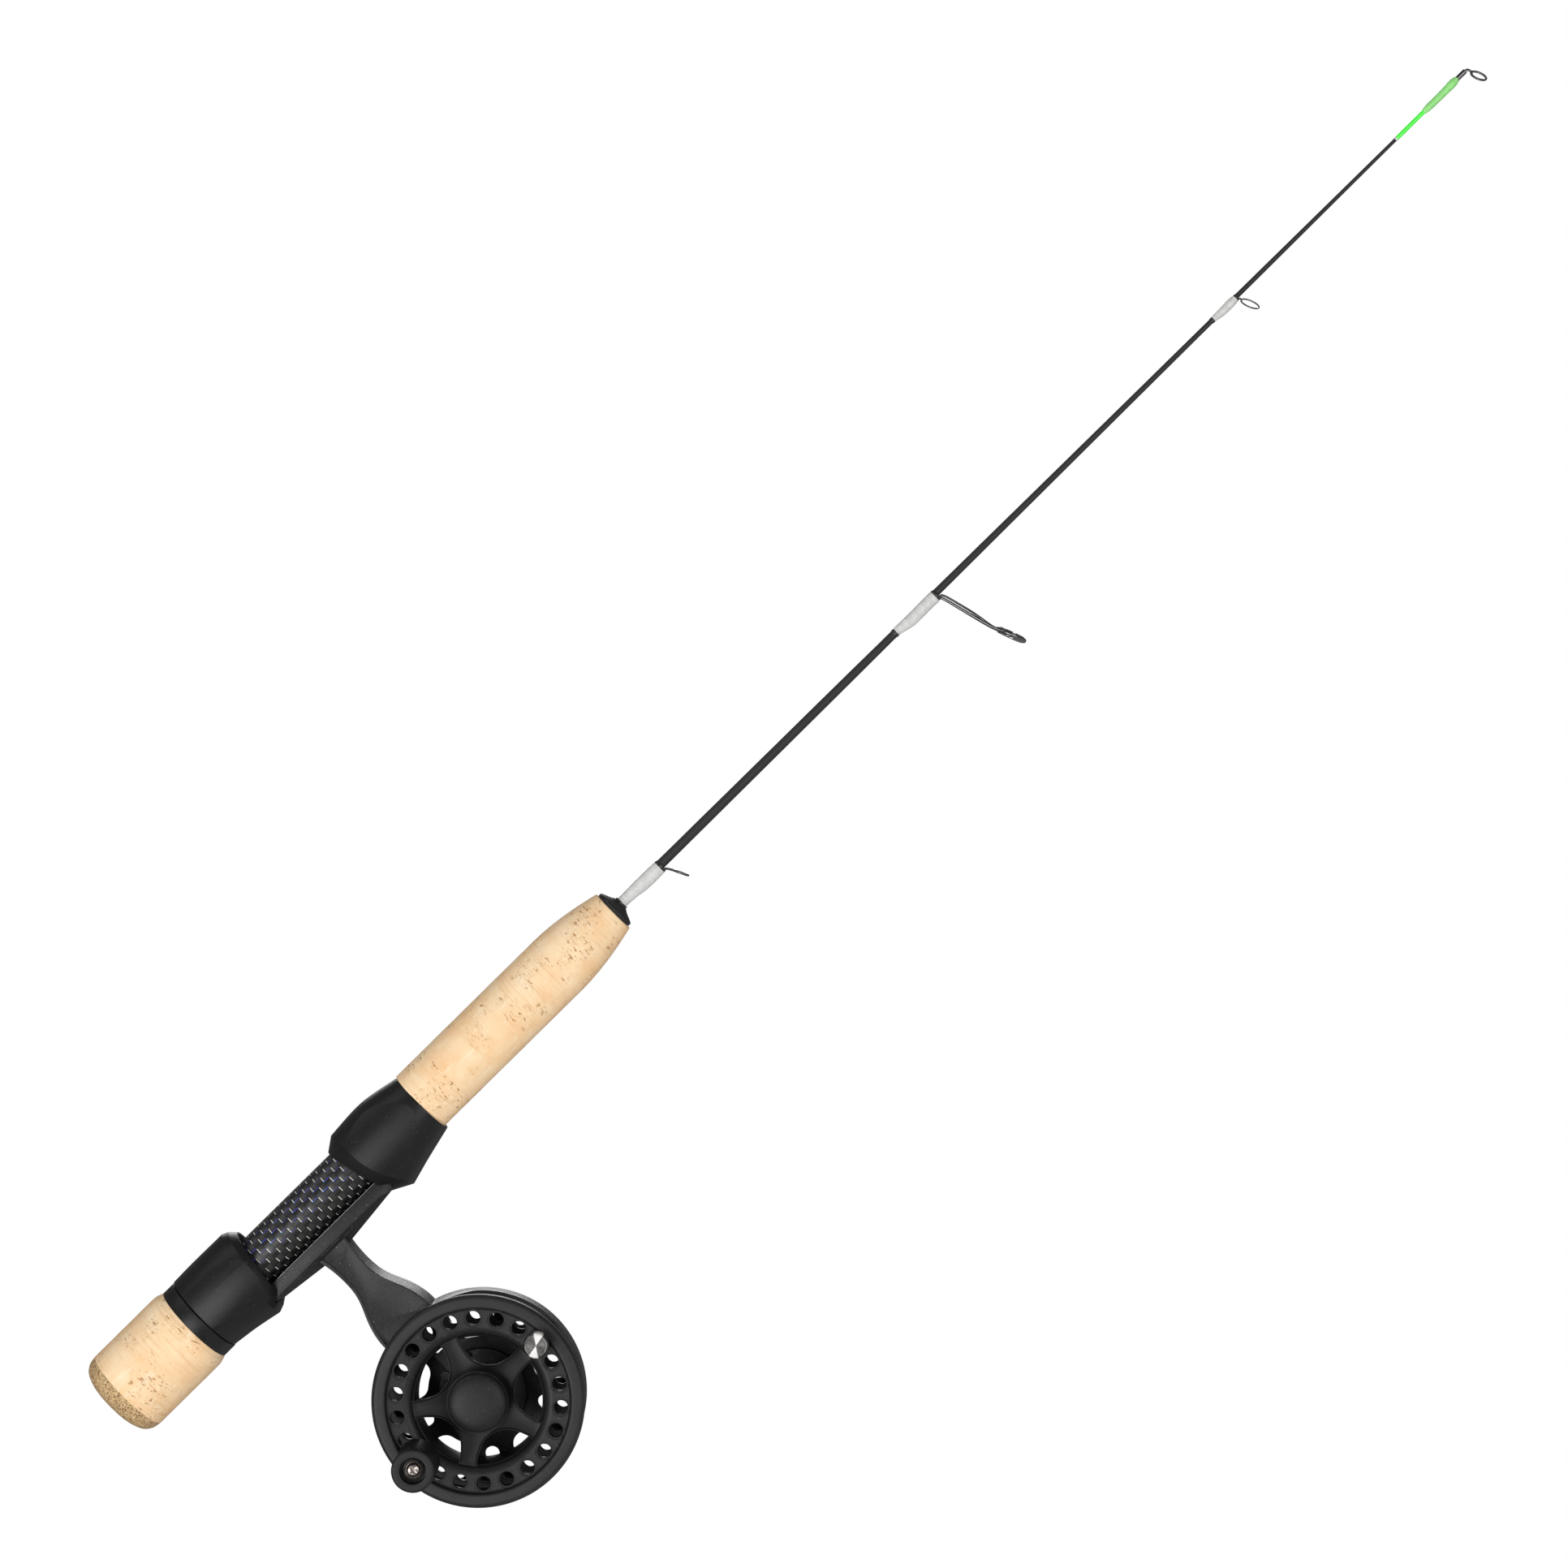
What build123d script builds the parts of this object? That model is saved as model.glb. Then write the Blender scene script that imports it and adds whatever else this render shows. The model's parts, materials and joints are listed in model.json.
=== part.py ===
"""A short ice-fishing rod with an in-line reel, built as the separate pieces it is made of.

Millimetres, +Z up. The rod lies along X with its tip at +X, the reel hangs below it and its
spool turns about Y, with the crank knob on the -Y side. The origin is on the rod's axis, in
the middle of the straight part of the fore grip. Places along the rod are given from the
reel's axis, and places on the reel from the reel's centre.
"""

import os
from math import cos, hypot, radians, sin, sqrt, tan

from build123d import *

# ---------------------------------------------------------------- driving dimensions, mm

REEL_X = -83.25  # the reel's axis, behind the origin
REEL_Z = -80.4  # the reel's axis, below the rod's axis
RUN = 0.05  # radial clearance of a running fit
GAP = 0.3  # gap between faces that move past each other

# Rod, as (distance from the reel's axis, radius)
BLANK = [(-66, 2.1), (139, 1.63), (163, 1.58), (243, 1.40), (284, 1.23), (331, 1.05),
         (377, 0.90), (432, 0.775), (463, 0.65), (489, 0.58), (518.5, 0.50)]

# Reel seat
TUBE_R = 8.25
TUBE_BORE = 6.0
TUBE_REAR = -70.5
TUBE_FRONT = 49.0
KEYWAY_WIDTH = 2.6
KEYWAY_DEPTH = 0.8
KEYWAY_FRONT = -16.0
ARBOR_SPANS = [(-62, -52), (-8, 2), (38, 48)]

# Fore grip
FORE_REAR = 52.5
FORE_TAPER = 114.0
FORE_FRONT = 138.8
FORE_R = 11.0
FORE_NOSE_R = 7.6

# Rear grip, which twists to lock the rear hood
BUTT = -85.0
CAP_FRONT = -78.5
REAR_GRIP_FRONT = -48.9
RING_FRONT = -44.2
HOOD_REAR = -43.9
REAR_R = 14.85
RING_R = 13.9
NUT_R = 10.5
NUT_REAR = -70.0
NUT_FRONT = -46.9

# Reel foot and stem
FOOT_TOP = -8.3
FOOT_HALF_WIDTH = 7.3
FOOT_REAR = -31.0
FOOT_FRONT = 32.0
STEM_FACE_Y = -7.3
STEM_BACK_Y = 12.0
GROOVES_Y = [(-5.6, -4.9), (-1.6, -0.9), (2.4, 3.1), (6.4, 7.1)]
GROOVE_DEPTH = 0.6

# Reel frame
FRAME_R = 33.3
FRAME_BORE = 31.2
FRAME_BACK = 15.0
PLATE_FRONT = 12.5
RIM_FRONT = 4.0
BOSS_R = 14.0
BOSS_FRONT = 9.5
WINDOWS = 5
WINDOW_R = (17.7, 29.4)
WINDOW_HALF_ANGLE = 16.5
WINDOW_CORNERS = (4.2, 3.0)  # fillets at the window's inner and outer corners
VENT_R = 2.3  # the small round holes between the windows
VENT_CIRCLES_R = (20.2, 26.4)

# Spool
SPOOL_R = 34.0
STEP_R = 29.3
HOLE_CIRCLE_R = 26.2
HOLE_R = 2.27
HOLE_PLACES = 22
EYE_R = 21.4
ARBOR_R = 21.4
ARBOR_BORE = 20.2
RIM_FACE = -14.5
RING_FACE = -12.4
FLANGE_BACK = -9.0
SKIRT_BACK = -7.9
REAR_FLANGE_R = 30.6
REAR_FLANGE = (6.5, 8.0)
SPOKES = 5
HUB_R = 7.5
HUB = (-11.5, 7.0)
SPINDLE_R = 2.5
BUSH_R = 4.2

# Small guides
GUIDE_TWIST = 12.0  # degrees that the middle guide and the tip top are twisted about the vertical

# Click: a sprung plunger in a toothed ring. The tooth count is a multiple of four.
CLICK_TEETH = 32
CLICK_TIP_R = 9.0
CLICK_ROOT_R = 8.1
CLICK_Y = (7.0, 8.5)
PLUNGER_R = 1.2
PLUNGER_TIP = 8.6
PLUNGER_TOP = 12.5
SPRING_TOP = 18.4
GUIDE = (10.8, 19.0)

# Crank knob and counterweight, on the same circle as the holes
KNOB_FACE = -40.0
KNOB_BASE = -14.8
KNOB_R = 6.8
KNOB_WAIST_R = 6.1
POST_R = 2.0
WEIGHT_R = 4.0
WEIGHT_FACE = -21.5

# Tension knob at the middle of the spool
CAP_FACE = -20.0
CAP_BACK = -12.9
CAP_R = 9.4
KNURL_R = 10.3
KNURLS = 60


# ---------------------------------------------------------------- helpers

def on_rod(distance, y=0.0, z=0.0):
    """A point this far toward the tip from the reel's axis."""
    return Vector(REEL_X + distance, y, z)


def turned_on_rod(outline):
    """A body turned about the rod's axis from (distance, radius) corners."""
    corners = [(REEL_X + distance, radius) for distance, radius in outline]
    return revolve(make_face(Polyline(*corners, close=True)), Axis.X)


def tube_on_rod(start, end, outer, bore=0.0):
    return turned_on_rod([(start, bore), (end, bore), (end, outer), (start, outer)])


def turned_on_reel(outline):
    """A body turned about the reel's axis from (y, radius) corners."""
    corners = [(radius, y) for y, radius in outline]
    return Pos(REEL_X, 0, REEL_Z) * revolve(make_face(Polyline(*corners, close=True)), Axis.Y)


def ring_on_reel(y_span, outer, bore=0.0):
    return turned_on_reel([(y_span[0], bore), (y_span[1], bore), (y_span[1], outer), (y_span[0], outer)])


def pin_on_reel(angle, radius_out, y_span, outer, bore=0.0):
    """A round pin or tube along Y, at this angle from +X toward +Z round the reel's axis."""
    shape = revolve(
        make_face(Polyline((bore, y_span[0]), (outer, y_span[0]), (outer, y_span[1]), (bore, y_span[1]),
                           close=True)),
        Axis.Y,
    )
    return Pos(REEL_X + radius_out * cos(angle), 0, REEL_Z + radius_out * sin(angle)) * shape


def extruded_along_y(face_xz, y_span):
    """A flat shape drawn in X and Z, given depth from one Y to another."""
    plane = Plane(origin=(0, y_span[1], 0), x_dir=(1, 0, 0), z_dir=(0, -1, 0))
    return extrude(plane * face_xz, y_span[1] - y_span[0])


def bar(start, end, radius):
    """A round wire between two points."""
    way = Vector(end) - Vector(start)
    plane = Plane(origin=start, z_dir=way)
    return plane * Cylinder(radius, way.length, align=(Align.CENTER, Align.CENTER, Align.MIN))


def tilted_ring(centre, tilt, shape, turn=0.0):
    """Turn a ring about Z into one whose lower edge leans toward the tip by the tilt, in degrees.

    Turn is how far the ring is then twisted about the vertical, in degrees.
    """
    return Pos(*centre) * Rot(0, 0, turn) * Rot(0, 90 - tilt, 0) * shape


def ring_crown(centre, tilt, ring_r, turn=0.0):
    """The highest point of a tilted and twisted ring's wire."""
    back = ring_r * sin(radians(tilt))
    return on_rod(centre[0] - back * cos(radians(turn)), -back * sin(radians(turn)),
                  centre[2] + ring_r * cos(radians(tilt)))


def upright_ellipse(distance, top, bottom, half_width, lean=0.0):
    """An elliptical section across the rod. Lean is how far its bottom is ahead of its top."""
    height = top - bottom
    up = Vector(-lean, 0, height).normalized()
    along = Vector(up.Z, 0, -up.X)
    plane = Plane(origin=on_rod(distance, 0, (top + bottom) / 2), x_dir=(0, 1, 0), z_dir=along)
    return plane * Ellipse(half_width, sqrt(height**2 + lean**2) / 2)


def round_section(distance, top, bottom):
    """A round section across the rod, from its top to its bottom."""
    plane = Plane(origin=on_rod(distance, 0, (top + bottom) / 2), x_dir=(0, 1, 0), z_dir=(1, 0, 0))
    return plane * Circle((top - bottom) / 2)


def thread_wrap(stations, *inside):
    """A thread wrap from (distance, top, bottom) stations, hollowed by what it is wound over."""
    shape = loft([round_section(*station) for station in stations], ruled=True)
    for piece in inside:
        shape = shape - piece
    return shape


def save(node, shape):
    export_step(shape, f"parts/{node}.step")


# ---------------------------------------------------------------- rod

def make_blank():
    outline = [(BLANK[0][0], 0.0)] + BLANK + [(BLANK[-1][0], 0.0)]
    return turned_on_rod(outline)


def make_seat_tube():
    tube = tube_on_rod(TUBE_REAR, TUBE_FRONT, TUBE_R, TUBE_BORE)
    length = KEYWAY_FRONT - TUBE_REAR
    keyway = Pos(on_rod(TUBE_REAR + length / 2, 0, -TUBE_R)) * Box(length, KEYWAY_WIDTH, 2 * KEYWAY_DEPTH)
    return tube - keyway


def foot_solid(grow=0.0):
    """The boat-shaped foot, or the room it needs when grown on every side."""
    side = Polyline(
        (REEL_X + FOOT_REAR - grow, FOOT_TOP + grow),
        (REEL_X + FOOT_REAR - grow, -10.6 - grow),
        (REEL_X - 22.2, -14.0 - grow),
        (REEL_X - 6.0, -16.0 - grow),
        (REEL_X + 6.0, -16.0 - grow),
        (REEL_X + 25.9, -13.8 - grow),
        (REEL_X + FOOT_FRONT + grow, -10.6 - grow),
        (REEL_X + FOOT_FRONT + grow, FOOT_TOP + grow),
        close=True,
    )
    half = FOOT_HALF_WIDTH + grow
    body = extruded_along_y(make_face(side), (-half, half))
    plan = Polyline(
        (REEL_X + FOOT_REAR - grow, -3.4 - grow),
        (REEL_X + FOOT_REAR + 9, -half),
        (REEL_X + FOOT_FRONT - 9, -half),
        (REEL_X + FOOT_FRONT + grow, -3.4 - grow),
        (REEL_X + FOOT_FRONT + grow, 3.4 + grow),
        (REEL_X + FOOT_FRONT - 9, half),
        (REEL_X + FOOT_REAR + 9, half),
        (REEL_X + FOOT_REAR - grow, 3.4 + grow),
        close=True,
    )
    body = body & (Pos(0, 0, -20) * extrude(make_face(plan), 20))
    end_on = Polyline((-half, 0), (half, 0), (half, -12.4 - grow), (3.6, -16.4 - grow), (-3.6, -16.4 - grow),
                      (-half, -12.4 - grow), close=True)
    across = Plane(origin=(REEL_X - 60, 0, 0), x_dir=(0, 1, 0), z_dir=(1, 0, 0))
    return body & extrude(across * make_face(end_on), 120)


def make_front_hood(blank):
    rear = upright_ellipse(22.95, 9.05, -13.9, 9.6, 5.9)
    crease = upright_ellipse(28.45, 12.2, -17.3, 12.7, 8.1)
    middle = upright_ellipse(40.0, 12.9, -14.8, 13.0, 3.0)
    front = upright_ellipse(FORE_REAR, 10.5, -12.1, 11.2)
    nose = loft([rear, crease], ruled=True)
    body = loft([crease, middle, front])
    cheeks = Plane(origin=on_rod(0, 0, -2.0), x_dir=(0, 1, 0), z_dir=(1, 0, 0)) * Ellipse(11.7, 16.4)
    hood = (nose + body) & extrude(cheeks, FORE_REAR + 10)
    hood = hood - tube_on_rod(0, TUBE_FRONT, TUBE_R) - foot_solid(0.1) - blank
    return hood - tube_on_rod(0, FOOT_FRONT - 4, TUBE_R + 0.6)


def make_rear_hood():
    end = upright_ellipse(HOOD_REAR, 14.1, -13.7, 13.9)
    waist = upright_ellipse(-35.6, 14.3, -14.8, 14.0)
    crease = upright_ellipse(-25.35, 14.2, -16.5, 13.4, -5.6)
    mouth = upright_ellipse(-20.3, 11.2, -14.0, 11.6, -3.7)
    body = loft([end, waist, crease])
    nose = loft([crease, mouth], ruled=True)
    cheeks = Plane(origin=on_rod(-60, 0, -1.0), x_dir=(0, 1, 0), z_dir=(1, 0, 0)) * Ellipse(12.9, 17.0)
    hood = (body + nose) & extrude(cheeks, 60)
    neck = turned_on_rod([(-46.4, 0), (-46.4, 11.2), (-45.5, 11.2), (-45.5, 10.4), (HOOD_REAR, 10.4),
                          (HOOD_REAR, 0)])
    socket = tube_on_rod(-33.5, 0, 10.6)
    hood = hood + neck - tube_on_rod(-60, 0, TUBE_R + RUN) - socket - foot_solid(GAP)
    key = Pos(on_rod(-39, 0, -TUBE_R + KEYWAY_DEPTH / 2 - GAP)) * Box(
        8, KEYWAY_WIDTH - 2 * GAP, KEYWAY_DEPTH + 0.2)
    return hood + key


def make_rear_grip():
    outline = [(CAP_FRONT, 0), (CAP_FRONT, REAR_R), (-51.4, REAR_R), (REAR_GRIP_FRONT, RING_R),
               (REAR_GRIP_FRONT, 0)]
    return turned_on_rod(outline) - tube_on_rod(NUT_REAR - 3, REAR_GRIP_FRONT, NUT_R)


def make_butt_cap():
    return turned_on_rod([(BUTT, 0), (BUTT, 8.6), (-84.2, 11.3), (-82.4, 13.4), (-80.4, 14.5), (CAP_FRONT, REAR_R),
                          (CAP_FRONT, 0)])


def make_lock_ring():
    shoulder = -45.3
    return turned_on_rod([(REAR_GRIP_FRONT, NUT_R), (REAR_GRIP_FRONT, RING_R), (RING_FRONT - 0.4, RING_R),
                          (RING_FRONT, RING_R - 0.4), (RING_FRONT, 10.5), (shoulder, 10.5),
                          (shoulder, 11.3), (NUT_FRONT, 11.3), (NUT_FRONT, NUT_R)])


def make_fore_grip(blank):
    outline = [(FORE_REAR, 0), (FORE_REAR, FORE_R), (FORE_TAPER, FORE_R), (120, 10.75), (127, 9.9),
               (FORE_FRONT, FORE_NOSE_R), (FORE_FRONT, 0)]
    return turned_on_rod(outline) - blank


def make_winding_check(blank):
    outline = [(FORE_FRONT, 0), (FORE_FRONT, 6.8), (139.8, 6.8), (140.1, 6.3), (141.9, 2.5), (141.9, 0)]
    return turned_on_rod(outline) - blank


# ---------------------------------------------------------------- guides and wraps

def ring_guide(foot, top, centre, tilt, ring_r, wire_r, turn=0.0):
    """A wire ring on one foot: its foot under the blank, one leg and a closed ring."""
    ring = tilted_ring(on_rod(*centre), tilt, Torus(ring_r, wire_r), turn)
    crown = ring_crown(centre, tilt, ring_r, turn)
    foot_bar = bar(on_rod(foot, 0, top[2]), on_rod(*top), wire_r)
    leg = bar(on_rod(*top), crown, wire_r)
    return foot_bar + leg + ring + Pos(on_rod(*top)) * Sphere(wire_r)


def make_stripper_frame(centre, tilt, ring_r, wire_r, seat_r):
    """A flat foot and two splayed legs that carry the ring's frame."""
    foot = Polyline((268.0, -1.25), (282.9, -1.15), (282.9, -2.1), (271.0, -2.1), close=True)
    plate = extruded_along_y(Pos(REEL_X, 0, 0) * make_face(foot), (-1.0, 1.0))
    frame = plate + tilted_ring(on_rod(*centre), tilt, Torus(ring_r, wire_r))
    up = 52.0
    for side in (-1, 1):
        start = on_rod(282.6, side * 0.6, -1.65)
        rise = ring_r * cos(radians(up))
        end = on_rod(centre[0] - rise * sin(radians(tilt)), side * ring_r * sin(radians(up)),
                     centre[2] + rise * cos(radians(tilt)))
        frame = frame + bar(start, end, wire_r) + Pos(start) * Sphere(wire_r)
    brace = bar(on_rod(282.6, 0, -1.65), ring_crown(centre, tilt, ring_r), wire_r * 0.8)
    seat = tilted_ring(on_rod(*centre), tilt, Cylinder(seat_r, 6))
    return frame + brace - seat


# ---------------------------------------------------------------- reel frame

def stem_face(shrink=0.0):
    """The stem's waisted outline in X and Z, or one drawn in from its edges."""
    widths = [(-14.0, 5.6), (-18.5, 4.8), (-23.5, 4.4), (-31.0, 5.2), (-38.0, 8.0), (-43.0, 9.5), (-50.0, 9.8)]
    right = [(REEL_X + w - shrink, z) for z, w in widths]
    left = [(REEL_X - w + shrink, z) for z, w in reversed(widths)]
    outline = [Spline(*right), Line(right[-1], left[0]), Spline(*left), Line(left[-1], right[0])]
    return make_face(Wire(outline))


def make_stem():
    """The stem, with a bead round its front face and grooves along its sides."""
    stem = extruded_along_y(stem_face(), (STEM_FACE_Y, STEM_BACK_Y))
    for groove in GROOVES_Y:
        band = extruded_along_y(stem_face(), groove) - extruded_along_y(stem_face(GROOVE_DEPTH), groove)
        stem = stem - band
    recess = extruded_along_y(stem_face(1.1), (STEM_FACE_Y - 1, STEM_FACE_Y + 0.5))
    recess = recess & Pos(REEL_X, 0, -33.2) * Box(60, 60, 34)
    slope = Polyline((7.3, -10), (7.3, -16), (12.5, -40), (30, -40), (30, -10), close=True)
    back_cut = extrude(Plane(origin=(REEL_X - 30, 0, 0), x_dir=(0, 1, 0), z_dir=(1, 0, 0)) * make_face(slope), 60)
    return stem - recess - back_cut


def frame_windows():
    """The back plate's openings: windows with rounded corners, and pairs of small holes between them."""
    ring = Circle(WINDOW_R[1]) - Circle(WINDOW_R[0])
    reach = 2 * WINDOW_R[1]
    rise = reach * tan(radians(WINDOW_HALF_ANGLE))
    sector = ring & make_face(Polyline((0, 0), (reach, -rise), (reach, rise), close=True))
    corners = sector.vertices().sort_by(lambda corner: hypot(corner.X, corner.Y))
    sector = fillet(corners[:2], WINDOW_CORNERS[0])
    corners = sector.vertices().sort_by(lambda corner: hypot(corner.X, corner.Y))
    sector = fillet(corners[-2:], WINDOW_CORNERS[1])
    openings = []
    for window in range(WINDOWS):
        turn = 54 + window * 360 / WINDOWS
        openings.append(Rot(0, 0, turn) * sector)
        for circle_r in VENT_CIRCLES_R:
            openings.append(Rot(0, 0, turn + 180 / WINDOWS) * Pos(circle_r, 0) * Circle(VENT_R))
    places = [Pos(REEL_X, REEL_Z, 0) * opening for opening in openings]
    return [extruded_along_y(place, (PLATE_FRONT - 2, FRAME_BACK + 2)) for place in places]


def make_reel_frame():
    rim = ring_on_reel((STEM_FACE_Y, FRAME_BACK), FRAME_R, FRAME_BORE)
    below = Pos(REEL_X, RIM_FRONT - 20, REEL_Z - 25) * Box(90, 40, 50)
    top_view = Polyline((40, -20), (14, -20), (14, STEM_FACE_Y), (22, RIM_FRONT), (40, RIM_FRONT), close=True)
    shoulder = Pos(REEL_X, 0, REEL_Z) * extrude(make_face(top_view), 50)
    mirrored = Pos(REEL_X, 0, REEL_Z) * extrude(mirror(make_face(top_view), Plane.YZ), 50)
    rim = rim - below - shoulder - mirrored
    for groove in (7.2, 10.8):
        rim = rim - ring_on_reel((groove, groove + 0.7), FRAME_R + 1, FRAME_R - 0.5)
    plate = ring_on_reel((PLATE_FRONT, FRAME_BACK), FRAME_BORE + 0.5, SPINDLE_R)
    boss = ring_on_reel((BOSS_FRONT, PLATE_FRONT), BOSS_R, SPINDLE_R)
    for opening in frame_windows():
        plate = plate - opening
    frame = rim + plate + boss
    stem = make_stem() - ring_on_reel((-20, 20), FRAME_BORE)
    frame = frame + stem + foot_solid()
    for side in (-1, 1):
        frame = frame - guide_screw_hole(side)
    return frame - tube_on_rod(-60, 60, TUBE_R)


def guide_screw_hole(side):
    return Pos(REEL_X + side * 4.4, BOSS_FRONT + 1.3, REEL_Z + 12.2) * Rot(90, 0, 0) * Cylinder(0.8, 3.0)


# ---------------------------------------------------------------- reel works

def make_click_guide():
    """The housing that the click plunger slides in, with an ear for a screw at each side."""
    height = GUIDE[1] - GUIDE[0]
    middle = (CLICK_Y[0] + CLICK_Y[1]) / 2
    depth = BOSS_FRONT - 6.0
    body = Pos(REEL_X, 6.0 + depth / 2, REEL_Z + sum(GUIDE) / 2) * Box(5.0, depth, height)
    ears = Pos(REEL_X, BOSS_FRONT - 0.6, REEL_Z + 12.2) * Box(11.6, 1.2, 2.8)
    body = body + ears
    for side in (-1, 1):
        body = body - guide_screw_hole(side) - Pos(REEL_X + side * 4.4, BOSS_FRONT - 0.6, REEL_Z + 12.2) * Rot(
            90, 0, 0) * Cylinder(0.8, 3.0)
    bore = Pos(REEL_X, middle, REEL_Z + 14) * Cylinder(PLUNGER_R + RUN, 8.9)
    return body - bore


def make_click_plunger():
    middle = (CLICK_Y[0] + CLICK_Y[1]) / 2
    shape = Polyline((0, PLUNGER_TIP), (PLUNGER_R, PLUNGER_TIP + PLUNGER_R), (PLUNGER_R, PLUNGER_TOP),
                     (0, PLUNGER_TOP), close=True)
    solid = revolve(Plane.XZ * make_face(shape), Axis.Z)
    return Pos(REEL_X, middle, REEL_Z) * solid


def make_click_spring():
    middle = (CLICK_Y[0] + CLICK_Y[1]) / 2
    wire_r = 0.16
    coil_r = 0.9
    length = SPRING_TOP - PLUNGER_TOP - 2 * wire_r - 0.02
    path = Helix(pitch=length / 6, height=length, radius=coil_r)
    section = Plane(origin=path @ 0, z_dir=path % 0) * Circle(wire_r)
    coil = sweep(section, path=path, is_frenet=True)
    return Pos(REEL_X, middle, REEL_Z + PLUNGER_TOP + wire_r + 0.01) * coil


def make_click_gear():
    points = []
    for step in range(2 * CLICK_TEETH):
        angle = radians(90 + step * 180 / CLICK_TEETH)
        radius = CLICK_TIP_R if step % 2 else CLICK_ROOT_R
        points.append((REEL_X + radius * cos(angle), REEL_Z + radius * sin(angle)))
    ring = extruded_along_y(make_face(Polyline(*points, close=True)), CLICK_Y)
    return ring - ring_on_reel((CLICK_Y[0] - 1, CLICK_Y[1] + 1), 5.0)


def make_guide_screws():
    screws = []
    for side in (-1, 1):
        place = Pos(REEL_X + side * 4.4, BOSS_FRONT - 1.2, REEL_Z + 12.2) * Rot(90, 0, 0)
        head = Pos(0, 0, 0.45) * Cylinder(1.35, 0.9) - Pos(0, 0, 0.8) * Box(2.0, 0.4, 0.5)
        shank = Pos(0, 0, -1.8) * Cylinder(0.8, 3.6)
        screws.append(place * (head + shank))
    return Compound(children=screws)


def make_spindle():
    """The fixed post: threaded tail in the back plate, collar, and the shaft the spool runs on."""
    return turned_on_reel([(-18.3, 0), (-18.3, SPINDLE_R - 0.3), (-18.0, SPINDLE_R), (8.8, SPINDLE_R), (8.8, 5.5),
                           (BOSS_FRONT, 5.5), (BOSS_FRONT, SPINDLE_R), (18.2, SPINDLE_R), (18.2, 0)])


def make_spindle_nut():
    hexagon = Pos(REEL_X, REEL_Z, 0) * RegularPolygon(4.6, 6)
    nut = extruded_along_y(hexagon, (FRAME_BACK, 17.6))
    return nut - ring_on_reel((FRAME_BACK - 1, 19), SPINDLE_R)


COVER_SCREW_ANGLES = (90, 210, 330)
COVER_SCREW_CIRCLE_R = 9.5


def make_rear_cover():
    shell = turned_on_reel([(FRAME_BACK, 6.2), (FRAME_BACK, 13.4), (17.4, 13.4), (19.2, 12.2), (19.6, 5.0),
                            (19.6, 0), (18.5, 0), (18.5, 6.2)])
    for angle in COVER_SCREW_ANGLES:
        shell = shell - pin_on_reel(radians(angle), COVER_SCREW_CIRCLE_R, (14, 17.6), 0.9)
        shell = shell - pin_on_reel(radians(angle), COVER_SCREW_CIRCLE_R, (17.4, 21), 2.0)
    return shell


def make_cover_screws():
    screws = []
    for angle in COVER_SCREW_ANGLES:
        shank = pin_on_reel(radians(angle), COVER_SCREW_CIRCLE_R, (FRAME_BACK, 17.4), 0.9)
        head = pin_on_reel(radians(angle), COVER_SCREW_CIRCLE_R, (17.4, 18.6), 1.8)
        place = (REEL_X + COVER_SCREW_CIRCLE_R * cos(radians(angle)), 18.6,
                 REEL_Z + COVER_SCREW_CIRCLE_R * sin(radians(angle)))
        slot = Pos(*place) * Box(4, 0.9, 0.5)
        screws.append(shank + head - slot)
    return Compound(children=screws)


# ---------------------------------------------------------------- spool

def hole_angles():
    """Every place on the hole circle but the crank's and the counterweight's."""
    step = 360 / HOLE_PLACES
    return [radians(place * step) for place in range(HOLE_PLACES) if place not in (0, HOLE_PLACES // 2)]


def make_front_flange():
    outline = [(RING_FACE + 1.8, EYE_R - 0.4), (RING_FACE + 0.5, EYE_R + 0.3), (RING_FACE, EYE_R + 1.3),
               (RING_FACE, STEP_R - 0.6), (RING_FACE - 0.5, STEP_R), (RIM_FACE + 0.5, STEP_R + 0.2),
               (RIM_FACE, STEP_R + 0.8), (RIM_FACE, SPOOL_R - 1.4), (RIM_FACE + 0.5, SPOOL_R - 0.4),
               (RIM_FACE + 1.4, SPOOL_R), (SKIRT_BACK - 0.3, SPOOL_R), (SKIRT_BACK, SPOOL_R - 0.3),
               (SKIRT_BACK, SPOOL_R - 1.8), (FLANGE_BACK - 0.6, 31.0), (FLANGE_BACK, 30.0),
               (FLANGE_BACK, ARBOR_BORE), (FLANGE_BACK - 1.0, ARBOR_BORE)]
    flange = turned_on_reel(outline)
    for angle in hole_angles():
        flange = flange - pin_on_reel(angle, HOLE_CIRCLE_R, (-20, 0), HOLE_R)
    for angle in (0, radians(180)):
        flange = flange - pin_on_reel(angle, HOLE_CIRCLE_R, (-20, 0), POST_R)
    hub = ring_on_reel(HUB, HUB_R, BUSH_R)
    collar = ring_on_reel((HUB[0], -8.2), 11.6, BUSH_R)
    flange = flange + hub + collar
    arm = make_face(Polyline((10.5, -4.6), (14.5, -2.9), (18.0, -2.9), (21.6, -4.2), (21.6, 4.2), (18.0, 2.9),
                             (14.5, 2.9), (10.5, 4.6), close=True))
    for spoke in range(SPOKES):
        turned = Pos(REEL_X, REEL_Z, 0) * Rot(0, 0, spoke * 360 / SPOKES) * arm
        flange = flange + extruded_along_y(turned, (-11.0, FLANGE_BACK))
    return flange


def make_rear_flange():
    flange = ring_on_reel(REAR_FLANGE, REAR_FLANGE_R, ARBOR_BORE)
    for place in range(HOLE_PLACES):
        angle = radians(place * 360 / HOLE_PLACES)
        flange = flange - pin_on_reel(angle, HOLE_CIRCLE_R, (0, 10), HOLE_R)
    return flange


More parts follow.
